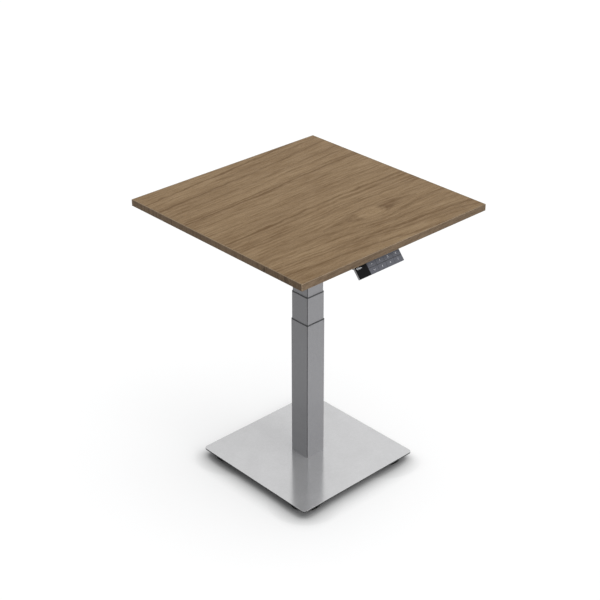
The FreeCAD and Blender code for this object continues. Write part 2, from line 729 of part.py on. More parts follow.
def add_mitres(item):
    """Two triangles that cut the strip's ends at 45 degrees."""
    half = number("top_side") / 2
    for sign in (-1, 1):
        outer = Vector(sign * half, -half, 0)
        beyond = Vector(sign * half, 0, 0)
        apex = Vector(0, 0, 0)
        first = item.GeometryCount
        item.addGeometry(Part.LineSegment(outer, beyond))
        item.addGeometry(Part.LineSegment(beyond, apex))
        item.addGeometry(Part.LineSegment(apex, outer))
        for i in range(3):
            item.addConstraint(Sketcher.Constraint("Coincident", first + i, 2, first + (i + 1) % 3, 1))
        item.addConstraint(Sketcher.Constraint("Vertical", first))
        item.addConstraint(Sketcher.Constraint("Coincident", first + 1, 2, -1, 1))
        item.addConstraint(Sketcher.Constraint("PointOnObject", first, 2, -1))
        locate(item, first, 1, f"{sign} * top_side / 2", "-top_side / 2")


def make_frame():
    """The head plate on the inner tube and the two arms that carry the board."""
    plate = centred_box("head_side", "head_side", "head_thickness", z="inner_top")
    places = [(f"{side} * arm_pitch / 2", y) for _, side in ARM_SIDES for y in HEAD_SCREW_PLACES]
    reach = "head_thickness + arm_wall + head_screw_end"
    holes = [cylinder("head_screw + seat_fit", reach, x, y, "inner_top") for x, y in places]
    node("head_plate", cut(plate, group(holes + [cylinder("head_bore", "head_thickness", z="inner_top")])))
    screws = [
        fuse(cylinder("head_screw", reach, x, y, "inner_top"),
             cylinder("head_screw_head", "screw_head", x, y, "inner_top - screw_head"))
        for x, y in places
    ]
    node("head_screws", group(screws))
    for name, side in ARM_SIDES:
        centre = f"{side} * arm_pitch / 2"
        outside = centred_box("arm_width", "arm_length", "arm_height", centre, "0", "head_level")
        inside = centred_box("arm_width - 2 * arm_wall", "arm_length", "arm_height - 2 * arm_wall",
                             centre, "0", "head_level + arm_wall")
        shanks = [cylinder("wood_screw + seat_fit", "arm_wall", centre, y, "underside - arm_wall")
                  for y in ARM_SCREW_PLACES]
        access = [cylinder("wood_screw_head + driver_room", "arm_wall", centre, y, "head_level")
                  for y in ARM_SCREW_PLACES]
        bolts = [cylinder("head_screw + seat_fit", "arm_wall", centre, y, "head_level")
                 for y in HEAD_SCREW_PLACES]
        node(f"arm_{name}", cut(outside, group([inside] + shanks + access + bolts)))


def make_wood_screws():
    """The screws that hold the arms, the control box and the handset to the board."""
    screws = [wood_screw(x, y, "underside - arm_wall") for x, y in arm_screw_places()]
    screws += [wood_screw(x, y, "underside - lug_thickness") for x, y in control_screw_places()]
    screws += [wood_screw(x, y, "underside - mount_thickness") for x, y in handset_screw_places()]
    node("wood_screws", group(screws))


# ---------------------------------------------------------------- the control box and leads
def make_control_box():
    middle = "control_start + control_depth / 2"
    inner_width = "control_width - 2 * control_wall"
    inner_depth = "control_depth - 2 * control_wall"
    shell = centred_box("control_width", "control_depth", "control_height", "0", middle, "control_level")
    lugs = centred_box("lug_width", "control_depth + 2 * lug", "lug_thickness", "0", middle,
                       "underside - lug_thickness")
    hollow = centred_box(inner_width, inner_depth, "control_height - control_wall", "0", middle,
                         "control_level")
    holes = [cylinder("wood_screw + seat_fit", "lug_thickness", x, y, "underside - lug_thickness")
             for x, y in control_screw_places()]
    inlet_hole = centred_box("inlet_width + 2 * seat_fit", "inlet_depth + 2 * control_wall",
                             "inlet_height + 2 * seat_fit", "0", "control_end - inlet_depth / 2",
                             "inlet_level - seat_fit")
    node("control_case", cut(fuse(shell, lugs), group([hollow, inlet_hole] + holes)))
    node("control_lid", centred_box(f"{inner_width} - 2 * seat_fit", f"{inner_depth} - 2 * seat_fit",
                                    "control_wall", "0", middle, "control_level"))
    make_control_board(inner_width, inner_depth)
    make_mains_inlet()
    plugs = [centred_box("lead_plug", "lead_plug", "lead_plug", x, "control_start - lead_plug / 2",
                         "lead_level - lead_plug / 2")
             for x in ("motor_lead_x", "handset_lead_x")]
    node("lead_plugs", group(plugs))


def make_control_board(inner_width, inner_depth):
    """The board on the lid, with its coil and capacitor."""
    depth = f"({inner_depth} - board_free)"
    centre = f"control_start + control_wall + board_front + {depth} / 2"
    board = centred_box(f"{inner_width} - 2 * board_margin", depth, "board_thickness", "0", centre,
                        "board_top - board_thickness")
    coil = centred_box("coil_width", "coil_depth", "coil_height", "coil_x", centre, "board_top")
    can = cylinder("can_radius", "can_height", "can_x", f"{centre} + can_y", "board_top")
    node("control_board", fuse(board, coil, can))


def make_mains_inlet():
    """The inlet in the box's rear wall, open to the rear, with its two pins."""
    block = centred_box("inlet_width", "inlet_depth", "inlet_height", "0", "control_end - inlet_depth / 2",
                        "inlet_level")
    mouth_depth = "(inlet_depth - inlet_back)"
    mouth = centred_box("inlet_width - 2 * inlet_side", mouth_depth, "inlet_height - 2 * inlet_lip", "0",
                        f"control_end - {mouth_depth} / 2", "inlet_level + inlet_lip")
    pins = []
    for side in (-1, 1):
        pin = cylinder("pin_radius", f"{mouth_depth} - pin_recess", f"{side} * pin_pitch / 2",
                       "control_end - pin_recess", "inlet_level + inlet_height / 2")
        pin.Placement.Rotation = Rotation(Vector(1, 0, 0), 90)
        pins.append(pin)
    node("mains_inlet", fuse(cut(block, mouth), *pins))


def round_bar_along(points, radius):
    """A round bar along straight runs joined by tangent arcs, as large as the runs allow."""
    edges = []
    start = points[0]
    for before, corner, after in zip(points, points[1:], points[2:]):
        back = (before - corner).normalize()
        onward = (after - corner).normalize()
        half_turn = (math.pi - back.getAngle(onward)) / 2
        setback = ARC_SHARE * min(before.distanceToPoint(corner), after.distanceToPoint(corner))
        arc_radius = setback / math.tan(half_turn)
        enter = corner + back * setback
        leave = corner + onward * setback
        bisector = (back + onward).normalize()
        middle = corner + bisector * (arc_radius / math.cos(half_turn) - arc_radius)
        edges.append(Part.LineSegment(start, enter).toShape())
        edges.append(Part.Arc(enter, middle, leave).toShape())
        print(f"lead bend radius {arc_radius:.1f} mm")
        start = leave
    edges.append(Part.LineSegment(start, points[-1]).toShape())
    path = Part.Wire(edges)
    section = Part.Wire(Part.Circle(points[0], points[1] - points[0], radius).toShape())
    bar = path.makePipeShell([section], True, True)
    expected = math.pi * radius ** 2 * path.Length
    if abs(bar.Volume / expected - 1) > VOLUME_TOLERANCE:
        raise RuntimeError("a lead's volume isn't its section times its length")
    return bar


def lead(name, points, radius):
    item = doc.addObject("Part::Feature", name)
    item.Shape = round_bar_along(points, radius)
    node(name, item)


def make_leads():
    level = number("lead_level")
    socket_y = number("control_start - lead_plug")
    x = number("motor_lead_x")
    lead("motor_lead", [Vector(x, 0, number("motor_top")), Vector(x, 0, level), Vector(x, socket_y, level)],
         number("motor_lead"))
    x = number("handset_lead_x")
    tilt = math.radians(number("face_tilt"))
    up_slope = Vector(0, math.cos(tilt), math.sin(tilt))
    into = Vector(0, math.sin(tilt), -math.cos(tilt))
    low_edge = Vector(x, number("face_low_y"), number("face_low_z"))
    exit_point = low_edge + up_slope * number("gland_rise") + into * number("housing_depth")
    bend = exit_point + into * number("lead_stub")
    points = [exit_point, bend, bend + Vector(0, number("lead_run"), 0)]
    points += [Vector(x, points[-1].y + number("lead_climb"), level), Vector(x, socket_y, level)]
    lead("handset_lead", points, number("handset_lead"))
    clips = []
    for y in ("clip_front", "clip_middle", "clip_rear"):
        block = centred_box("clip", "clip", "lead_drop + handset_lead + clip_floor", "handset_lead_x", y,
                            "lead_level - handset_lead - clip_floor")
        hole = cylinder("handset_lead + seat_fit", "clip + 2 * clip_floor", "handset_lead_x",
                        f"{y} + clip / 2 + clip_floor", "lead_level")
        hole.Placement.Rotation = Rotation(Vector(1, 0, 0), 90)
        clips.append(cut(block, hole))
    node("lead_clips", group(clips))


# ---------------------------------------------------------------- the handset
KEY_COLUMNS = range(4)
KEY_ROWS = ("lower", "upper")


def make_handset():
    left = "handset_left"
    wall = "housing_wall"
    slab = box("handset_width", "face_length", "housing_depth - fascia", left, "0", "-housing_depth")
    hollow = box(f"handset_width - 2 * {wall}", f"face_length - 2 * {wall}",
                 f"housing_depth - fascia - {wall}", f"{left} + {wall}", wall, f"-housing_depth + {wall}")
    gland = cylinder("gland_radius", "gland_length", "handset_lead_x", "gland_rise",
                     "-housing_depth - gland_length")
    lead_way = cylinder("handset_lead + seat_fit", f"gland_length + {wall}", "handset_lead_x", "gland_rise",
                        "-housing_depth - gland_length")
    inset = f"{wall} + post_inset"
    posts = [box("post", "post", f"housing_depth - {wall} - circuit_level - board_thickness", x, y,
                 f"-housing_depth + {wall}")
             for x in (f"{left} + {inset}", f"{left} + handset_width / 2", f"handset_right - {inset} - post")
             for y in (inset, f"face_length - ({inset}) - post")]
    shell = cut(fuse(slab, gland), group([hollow, lead_way]))
    flange_y = "face_top_y"
    flange = box("handset_width", "mount_depth", "mount_thickness", left, flange_y,
                 "underside - mount_thickness")
    ribs = [box("rib_thickness", "rib_depth", "rib_height", f"{left} + {place}", flange_y,
                "underside - mount_thickness - rib_height")
            for place in ("0", "(handset_width - rib_thickness) / 3", "handset_width - rib_thickness")]
    keep_out = [
        box(f"handset_width - 2 * {wall}", f"face_length - 2 * {wall}", f"housing_depth - {wall}",
            f"{left} + {wall}", wall, f"-housing_depth + {wall}"),
        box("handset_width", "2 * face_length", "housing_depth", left, "0", "-fascia"),
    ]
    fixing = [cylinder("wood_screw + seat_fit", "mount_thickness", x, y, "underside - mount_thickness")
              for x, y in handset_screw_places()]
    mount = cut(fuse(flange, *ribs), group([on_face(item) for item in keep_out] + fixing))
    node("handset_housing", fuse(on_face(fuse(shell, *posts)), mount))
    node("display_window", on_face(box("window_width - joint_gap", "face_length", "fascia", left, "0",
                                       "-fascia")))
    field = box("handset_right - window_right", "face_length", "fascia", "window_right", "0", "-fascia")
    rows = [box("handset_right - window_right - 2 * key_rim", "key_row", "fascia", "window_right + key_rim",
                key_row_start(row), "-fascia")
            for row in KEY_ROWS]
    node("handset_fascia", on_face(cut(field, group(rows))))
    make_handset_inside()
    for row in KEY_ROWS:
        for column in KEY_COLUMNS:
            make_key(row, column)


def key_row_start(row):
    return "key_rim" if row == "lower" else "key_rim + key_row + key_bar"


def key_centre(column):
    return f"window_right + key_rim + key_pitch * {column + 0.5}"


def make_key(row, column):
    """A key cap with a flange that holds it behind the fascia's rim and bar."""
    centre = key_centre(column)
    start = key_row_start(row)
    cap = centred_box("key_pitch - key_gap", "key_row - 2 * key_fit", "fascia + key_fit", centre,
                      f"{start} + key_row / 2", "-fascia - key_fit")
    above = "key_flange" if row == "upper" else "key_bar / 2 - key_fit"
    below = "key_flange" if row == "lower" else "key_bar / 2 - key_fit"
    flange = centred_box("key_pitch - key_gap", f"key_row + {above} + {below}", "key_flange_thickness",
                         centre, f"{start} + key_row / 2 + ({above} - ({below})) / 2",
                         "-fascia - key_fit - key_flange_thickness")
    node(f"key_{row}_{column + 1}", on_face(fuse(cap, flange)))


def make_handset_inside():
    inset = "(housing_wall + board_gap)"
    board = box(f"handset_width - 2 * {inset}", f"face_length - 2 * {inset}", "board_thickness",
                f"handset_left + {inset}", inset, "-circuit_level - board_thickness")
    node("handset_board", on_face(board))
    switches = [cylinder("switch_radius", "circuit_level - switch_top", key_centre(column),
                         f"{key_row_start(row)} + key_row / 2", "-circuit_level")
                for row in KEY_ROWS for column in KEY_COLUMNS]
    node("key_switches", on_face(group(switches)))
    node("display_module", on_face(centred_box("window_width - 2 * module_end",
                                               "face_length - 2 * module_edge",
                                               "circuit_level - fascia - seat_fit",
                                               "handset_left + window_width / 2", "face_length / 2",
                                               "-circuit_level")))


# ---------------------------------------------------------------- build, check and write
def build_all():
    make_base()
    make_foot()
    make_column()
    make_middle_drive()
    make_drive_tube()
    make_drive_screw()
    make_motor()
    make_top()
    make_frame()
    make_wood_screws()
    make_control_box()
    make_leads()
    make_handset()
    doc.recompute()


def check_all():
    for item in doc.Objects:
        if "Invalid" in item.State or "Error" in item.State:
            raise RuntimeError(f"{item.Label} failed to compute")
    for name, item in nodes.items():
        if item.Shape.isNull() or not item.Shape.isValid() or not item.Shape.Solids:
            raise RuntimeError(f"{name} has no valid solid")


def write_all():
    os.makedirs("parts", exist_ok=True)
    for name, item in nodes.items():
        item.Shape.exportStep(f"parts/{name}.step")
    print(len(nodes), "nodes")


build_all()
check_all()
write_all()
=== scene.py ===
"""Looks of the lifting pedestal table: its finishes, its printed marks, and the light it stands in."""
import json
import math

import bmesh
import bpy
from mathutils import Matrix, Vector


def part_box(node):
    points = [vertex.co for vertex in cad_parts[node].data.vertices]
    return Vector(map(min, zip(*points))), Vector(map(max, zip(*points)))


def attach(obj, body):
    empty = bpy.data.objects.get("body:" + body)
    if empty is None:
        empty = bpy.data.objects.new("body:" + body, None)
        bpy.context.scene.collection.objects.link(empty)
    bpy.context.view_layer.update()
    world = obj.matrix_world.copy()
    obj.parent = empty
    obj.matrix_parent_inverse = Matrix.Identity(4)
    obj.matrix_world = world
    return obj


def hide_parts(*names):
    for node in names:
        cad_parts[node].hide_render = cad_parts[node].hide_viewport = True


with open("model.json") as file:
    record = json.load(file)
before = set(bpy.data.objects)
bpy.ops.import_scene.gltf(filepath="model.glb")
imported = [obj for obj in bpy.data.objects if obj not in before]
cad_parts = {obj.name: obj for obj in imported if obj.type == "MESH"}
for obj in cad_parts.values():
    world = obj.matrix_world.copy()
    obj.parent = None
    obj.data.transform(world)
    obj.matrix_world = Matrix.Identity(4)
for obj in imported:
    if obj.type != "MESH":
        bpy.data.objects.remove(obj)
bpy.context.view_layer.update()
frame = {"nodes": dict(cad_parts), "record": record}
NODES = frame["nodes"]
SLOTS = {part["node"]: part["material_slot"] for part in frame["record"]["subparts"]}

# The top: half its side, and how far the painted highlight at its upright corners reaches along the edging.
TOP_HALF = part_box("edging_right")[1][0]
CORNER_HIGHLIGHT = 0.0018

# The handset's sloping face, its keys, the flat print on it, and the painted shade of the groove between its
# key rows.
FACE_TILT = math.radians(50.0)
UP_THE_FACE = Vector((0.0, math.cos(FACE_TILT), math.sin(FACE_TILT)))
OUT_OF_FACE = Vector((0.0, -math.sin(FACE_TILT), math.cos(FACE_TILT)))
KEYS = ("key_lower_1", "key_lower_2", "key_lower_3", "key_lower_4",
        "key_upper_1", "key_upper_2", "key_upper_3", "key_upper_4")
INK_THICKNESS = 0.00006
LETTER_SIZE = 0.0072
ARROW_SPAN = 0.0064
GROOVE_WIDTH = 0.00136
GROOVE_CORNER = 0.0004

# The height reading, and where its digits and its unit stand from the middle of the window.
DIGIT_HEIGHT = 0.0046
UNIT_SIZE = 0.0064
READING_UP = 0.0080
DIGITS_ALONG = -0.0122
UNIT_ALONG = -0.0022

# The wood's dark growth rings, behind its eye and in front of it. Each has its distance from the eye, its
# depth of tone and its breadth. Those behind are in two lists, because a colour ramp holds 32 stops.
NEAR_RINGS = ((0.041, 0.7, 0.015), (0.060, 0.5, 0.008), (0.072, 0.5, 0.007), (0.085, 0.8, 0.010),
              (0.097, 0.5, 0.007), (0.108, 0.5, 0.008), (0.131, 0.6, 0.011), (0.153, 0.8, 0.012),
              (0.173, 0.3, 0.009), (0.196, 0.5, 0.009))
FAR_RINGS = ((0.230, 0.55, 0.009), (0.255, 0.6, 0.009), (0.291, 0.65, 0.008), (0.340, 0.95, 0.010),
             (0.352, 0.5, 0.010), (0.391, 0.5, 0.010), (0.420, 0.5, 0.009), (0.475, 1.0, 0.009),
             (0.514, 0.45, 0.010), (0.544, 1.0, 0.011))
FRONT_RINGS = ((0.037, 0.55, 0.014), (0.055, 0.5, 0.008), (0.071, 0.55, 0.008), (0.083, 0.6, 0.010),
               (0.119, 0.75, 0.010), (0.139, 0.7, 0.011), (0.183, 0.7, 0.016))
HAIRLINES_PER_METRE = 132.0
# Squares of the eye's half length and half breadth.
EYE_LENGTH_SQUARED = 0.0084
EYE_BREADTH_SQUARED = 0.0025

# Copies of CAD nodes: how near two corners are one, how flat is flat, how steep an edge is eased, and how
# far each node's edges are eased.
WELD = 0.000002
FLAT_WITHIN = math.radians(0.6)
SHARP_FROM = math.radians(40.0)
EASED = (("control_case", 0.0010), ("control_lid", 0.0005), ("mains_inlet", 0.0004),
         ("handset_housing", 0.0003), ("handset_fascia", 0.0001), ("display_window", 0.0003),
         ("lead_plugs", 0.0008), ("lead_clips", 0.0006), ("arm_left", 0.0004), ("arm_right", 0.0004),
         ("head_plate", 0.0005))
KEY_EASE = 0.0002

# Screws: the drive socket's radius as a share of the head's, and its number of lobes.
SOCKET_SHARE = 0.42
SOCKET_LOBES = 6.0

# Bars of a seven-segment digit: the place of each in half bars, and 1 for an upright one.
SEGMENTS = {"a": (0.0, 2.0, 0), "b": (1.0, 1.0, 1), "c": (1.0, -1.0, 1), "d": (0.0, -2.0, 0),
            "e": (-1.0, -1.0, 1), "f": (-1.0, 1.0, 1), "g": (0.0, 0.0, 0)}
LIT_SEGMENTS = {"9": "abcdfg", "3": "abcdg", "5": "acdfg"}

# The floor: its radius, the reach and strength of each shade on it, the tones that the closer shade goes
# through from its deepest, and how bright it is where nothing shades it.
FLOOR_RADIUS = 30.0
FLOOR_SHADES = ((0.075, 2.7), (0.60, 0.50))
SHADE_TONES = ((0.16, 0.17), (0.226, 0.36), (0.32, 0.49), (0.54, 0.65), (0.75, 0.79))
FLOOR_GLOW = 0.74

# The camera: its lens in millimetres, its place, and its turn in degrees about X, Y and Z.
LENS_LENGTH = 84.6341
CAMERA_PLACE = (-2.680072, -2.846225, 2.725438)
CAMERA_TURN = (61.40227, 0.09758, -42.96590)


# ---------------------------------------------------------------- node wiring

def node(tree, kind, values=None, links=None, **settings):
    """Adds one shader node, sets its sockets and settings, and links what feeds it."""
    made = tree.nodes.new(kind)
    for name, value in settings.items():
        setattr(made, name, value)
    for socket, value in (values or {}).items():
        made.inputs[socket].default_value = value
    for socket, source in (links or {}).items():
        tree.links.new(source, made.inputs[socket])
    return made


def sum_of(tree, operation, first, second=0.0, third=0.0):
    """A Math node of two or three numbers or links."""
    made = tree.nodes.new("ShaderNodeMath")
    made.operation = operation
    for place, term in enumerate((first, second, third)):
        if isinstance(term, bpy.types.NodeSocket):
            tree.links.new(term, made.inputs[place])
        else:
            made.inputs[place].default_value = term
    return made.outputs[0]


def spread(tree, source, low, high, to_low, to_high, smooth=False):
    """Maps low..high of a value onto to_low..to_high."""
    made = node(tree, "ShaderNodeMapRange", links={"Value": source},
                interpolation_type="SMOOTHSTEP" if smooth else "LINEAR")
    for socket, value in (("From Min", low), ("From Max", high), ("To Min", to_low), ("To Max", to_high)):
        if isinstance(value, bpy.types.NodeSocket):
            tree.links.new(value, made.inputs[socket])
        else:
            made.inputs[socket].default_value = value
    return made.outputs["Result"]


def swing(tree, source, low, high):
    """Maps the range that a noise mostly keeps to onto low..high."""
    return spread(tree, source, 0.3, 0.7, low, high)


def blend(tree, mask, first, second):
    """Mixes two colours by a mask."""
    made = node(tree, "ShaderNodeMix", data_type="RGBA")
    for place, term in ((0, mask), (6, first), (7, second)):
        if isinstance(term, bpy.types.NodeSocket):
            tree.links.new(term, made.inputs[place])
        else:
            made.inputs[place].default_value = term
    return made.outputs[2]


def scaled(tree, colour, shade):
    """Makes a colour lighter or darker."""
    return node(tree, "ShaderNodeVectorMath", operation="SCALE", links={0: colour, "Scale": shade}).outputs[0]


def stretch(tree, vector, scale, shift=(0.0, 0.0, 0.0), turn=(0.0, 0.0, 0.0)):
    """Moves, turns and scales the coordinates that a pattern reads."""
    return node(tree, "ShaderNodeMapping", values={"Scale": scale, "Location": shift, "Rotation": turn},
                links={"Vector": vector}).outputs["Vector"]


def noise(tree, vector, scale=1.0, detail=2.0, roughness=0.5):
    """Cloudy noise between 0 and 1."""
    return node(tree, "ShaderNodeTexNoise", values={"Scale": scale, "Detail": detail, "Roughness": roughness},
                links={"Vector": vector}).outputs["Fac"]


def effect(name, inputs, outputs):
    """Starts a shader node group with named inputs and outputs."""
    group = bpy.data.node_groups.new(name, "ShaderNodeTree")
    for label, kind, value in inputs:
        socket = group.interface.new_socket(name=label, in_out="INPUT", socket_type="NodeSocket" + kind)
        if value is not None:
            socket.default_value = value
    for label, kind in outputs:
        group.interface.new_socket(name=label, in_out="OUTPUT", socket_type="NodeSocket" + kind)
    return group, group.nodes.new("NodeGroupInput").outputs, group.nodes.new("NodeGroupOutput").inputs


def finish_effect(group, target, **results):
    """Links a group's results to its outputs."""
    for label, source in results.items():
        group.links.new(source, target[label])
    return group


def seen_plainly(tree):
    """1 for the rays that show the pale backdrop: from the camera, off a gloss or through a clear piece."""
    path = node(tree, "ShaderNodeLightPath").outputs
    direct = sum_of(tree, "MAXIMUM", path["Is Camera Ray"], path["Is Glossy Ray"])
    return sum_of(tree, "MAXIMUM", direct, path["Is Transmission Ray"])


# ---------------------------------------------------------------- shared effects

def arris_effect():
    """Masks of the eased edges, where a face looks along none of the three axes, and of upright faces."""
    group, _, out = effect("arris", [], [("Mask", "Float"), ("Upright", "Float")])
    facing = node(group, "ShaderNodeNewGeometry").outputs["Normal"]
    parts = node(group, "ShaderNodeSeparateXYZ", links={0: facing}).outputs
    sizes = [sum_of(group, "ABSOLUTE", part) for part in parts]
    largest = sum_of(group, "MAXIMUM", sum_of(group, "MAXIMUM", sizes[0], sizes[1]), sizes[2])
    return finish_effect(group, out, Mask=spread(group, largest, 0.995, 0.88, 0.0, 1.0, smooth=True),
                         Upright=spread(group, sizes[2], 0.5, 0.2, 0.0, 1.0, smooth=True))


def ring_distance(group, place):
    """How far out the ring through a point lies, whether behind the eye, and the square of the way along X.

    The rings run along X, sway and ripple a little, slant more in front, and part round the eye.
    """
    parts = node(group, "ShaderNodeSeparateXYZ", links={0: place}).outputs
    sway = noise(group, stretch(group, place, (2.6, 3.4, 3.4)), detail=1.0)
    ripple = noise(group, stretch(group, place, (19.0, 34.0, 34.0)), detail=3.0)
    across = sum_of(group, "ADD", parts["Y"], spread(group, sway, 0.25, 0.75, -0.007, 0.007))
    across = sum_of(group, "ADD", across, spread(group, ripple, 0.25, 0.75, -0.0042, 0.0042))
    in_front = sum_of(group, "MULTIPLY", sum_of(group, "MINIMUM", across, 0.0), -0.7)
    slant = sum_of(group, "MULTIPLY_ADD", across, -0.2, in_front)
    across = sum_of(group, "MULTIPLY_ADD", parts["X"], slant, across)
    along = sum_of(group, "MULTIPLY", parts["X"], parts["X"])
    parting = sum_of(group, "DIVIDE", along, sum_of(group, "ADD", along, EYE_LENGTH_SQUARED))
    square = sum_of(group, "MULTIPLY_ADD", across, across,
                    sum_of(group, "MULTIPLY", parting, EYE_BREADTH_SQUARED))
    radius = sum_of(group, "SQRT", square)
    behind = sum_of(group, "GREATER_THAN", across, 0.0)
    return radius, behind, along


def ring_lines(tree, source, lines):
    """Dark growth rings at set distances. Each rises slowly to its depth, then falls sharply."""
    ramp = node(tree, "ShaderNodeValToRGB", links={"Fac": source})
    stops = ramp.color_ramp.elements
    stops[0].color = stops[1].color = (0, 0, 0, 1)
    for distance, depth, breadth in lines:
        start = distance - 0.75 * breadth
        end = distance + 0.35 * breadth
        for place, level in ((start, 0.0), (distance, depth), (end, 0.0)):
            stops.new(place).color = (level, level, level, 1)
    return ramp.outputs["Color"]


def hairlines(group, radius, behind):
    """Fine rings between the main ones, each of a chance depth."""
    rings = sum_of(group, "MULTIPLY", radius, HAIRLINES_PER_METRE)
    number = sum_of(group, "MULTIPLY_ADD", behind, 31.0, sum_of(group, "FLOOR", rings))
    chance = node(group, "ShaderNodeTexWhiteNoise", noise_dimensions="1D", links={"W": number})
    return sum_of(group, "MULTIPLY", sum_of(group, "FRACT", rings), chance.outputs["Value"])


def with_eye(group, place, radius, along, dark):
    """Adds the eye to the wood's tone: pale with dark flames, and a dark outline, strongest at its tips."""
    eye = spread(group, radius, 0.050, 0.030, 0.0, 1.0, smooth=True)
    cloud = noise(group, stretch(group, place, (12.0, 36.0, 36.0)), detail=3.0)
    flame = spread(group, cloud, 0.52, 0.60, 0.0, 0.30)
    inner = spread(group, radius, 0.018, 0.025, 0.0, 1.0, smooth=True)
    outer = spread(group, radius, 0.038, 0.032, 0.0, 0.40, smooth=True)
    outline = sum_of(group, "MULTIPLY", inner, outer)
    tips = sum_of(group, "MULTIPLY", spread(group, along, 0.0010, 0.0030, 0.25, 1.0, smooth=True), outline)
    dark = sum_of(group, "MULTIPLY_ADD", eye, sum_of(group, "SUBTRACT", flame, 0.19), dark)
    return sum_of(group, "ADD", dark, tips)


def veneer_effect():
    """Flat-sawn veneer with an eye at the origin: rings, fibres along X, pores and slow changes of tone."""
    group, given, out = effect(
        "veneer",
        [("Vector", "Vector", None), ("Early Wood", "Color", None), ("Late Wood", "Color", None),
         ("Pore", "Color", None), ("Ring Depth", "Float", 0.6)],
        [("Color", "Color"), ("Roughness", "Float"), ("Height", "Float")])
    place = given["Vector"]
    radius, behind, along = ring_distance(group, place)
    far = sum_of(group, "ADD", ring_lines(group, radius, FAR_RINGS), ring_lines(group, radius, NEAR_RINGS))
    lines = blend(group, behind, ring_lines(group, radius, FRONT_RINGS), far)
    fading = noise(group, stretch(group, place, (6.0, 24.0, 24.0)), detail=1.0)
    line = sum_of(group, "MULTIPLY", lines, swing(group, fading, 0.55, 1.2))
    tone = noise(group, stretch(group, place, (3.0, 11.0, 11.0)), detail=3.0)
    streak = noise(group, stretch(group, place, (13.0, 150.0, 150.0)), detail=3.0, roughness=0.6)
    fibre = noise(group, stretch(group, place, (95.0, 1300.0, 1300.0)), detail=2.0, roughness=0.7)
    dark = sum_of(group, "MULTIPLY_ADD", line, given["Ring Depth"], swing(group, tone, -0.15, 0.17))
    dark = sum_of(group, "MULTIPLY_ADD", hairlines(group, radius, behind), 0.36, dark)
    dark = sum_of(group, "ADD", dark, swing(group, streak, -0.22, 0.22))
    dark = sum_of(group, "ADD", dark, swing(group, fibre, -0.24, 0.24))
    dark = with_eye(group, place, radius, along, dark)
    dark = node(group, "ShaderNodeClamp", links={"Value": sum_of(group, "ADD", dark, 0.27)}).outputs[0]
    dash = noise(group, stretch(group, place, (80.0, 2000.0, 2000.0)), detail=1.0)
    pore = spread(group, dash, 0.60, 0.70, 0.0, 1.0)
    wood = blend(group, dark, given["Early Wood"], given["Late Wood"])
    wood = blend(group, sum_of(group, "MULTIPLY", pore, 0.55), wood, given["Pore"])
    rough = sum_of(group, "MULTIPLY_ADD", pore, 0.12, swing(group, streak, 0.46, 0.56))
    height = sum_of(group, "SUBTRACT", sum_of(group, "MULTIPLY", fibre, 0.5), pore)
    return finish_effect(group, out, Color=wood, Roughness=rough, Height=height)


def powder_effect():
    """Baked powder paint: fine metal flecks, an orange-peel skin and a slow change of tone."""
    group, given, out = effect(
        "powder_paint",
        [("Vector", "Vector", None), ("Paint", "Color", None), ("Fleck", "Color", None),
         ("Fleck Share", "Float", 0.3), ("Gloss Low", "Float", 0.3), ("Gloss High", "Float", 0.36)],
        [("Color", "Color"), ("Roughness", "Float"), ("Height", "Float")])
    place = given["Vector"]
    cells = node(group, "ShaderNodeTexVoronoi", values={"Scale": 1900.0}, links={"Vector": place})
    chance = node(group, "ShaderNodeSeparateColor", links={0: cells.outputs["Color"]}).outputs[0]
    fleck = sum_of(group, "MULTIPLY", spread(group, chance, 0.55, 0.95, 0.0, 1.0), given["Fleck Share"])
    cloud = noise(group, place, scale=14.0, detail=3.0)
    patch = noise(group, place, scale=110.0, detail=2.0)
    shade = sum_of(group, "ADD", swing(group, cloud, 0.97, 1.03), swing(group, patch, -0.02, 0.02))
    paint = blend(group, fleck, given["Paint"], given["Fleck"])
    rough = swing(group, cloud, given["Gloss Low"], given["Gloss High"])
    peel = noise(group, place, scale=620.0, detail=2.0)
    return finish_effect(group, out, Color=scaled(group, paint, shade), Roughness=rough, Height=peel)


def moulded_effect():
    """Moulded plastic: a spark-eroded grain, with slow marks of flow in tone and gloss."""
    group, given, out = effect(
        "moulded_grain",
        [("Vector", "Vector", None), ("Resin", "Color", None), ("Grain Scale", "Float", 2200.0),
         ("Gloss Low", "Float", 0.45), ("Gloss High", "Float", 0.55)],
        [("Color", "Color"), ("Roughness", "Float"), ("Height", "Float")])
    place = given["Vector"]
    grain = node(group, "ShaderNodeTexNoise", values={"Detail": 2.0},
                 links={"Vector": place, "Scale": given["Grain Scale"]}).outputs["Fac"]
    flow = noise(group, place, scale=32.0, detail=3.0)
    shade = sum_of(group, "ADD", swing(group, flow, 0.95, 1.05), swing(group, grain, -0.05, 0.05))
    tinted = scaled(group, given["Resin"], shade)
    rough = swing(group, flow, given["Gloss Low"], given["Gloss High"])
    return finish_effect(group, out, Color=tinted, Roughness=rough, Height=grain)


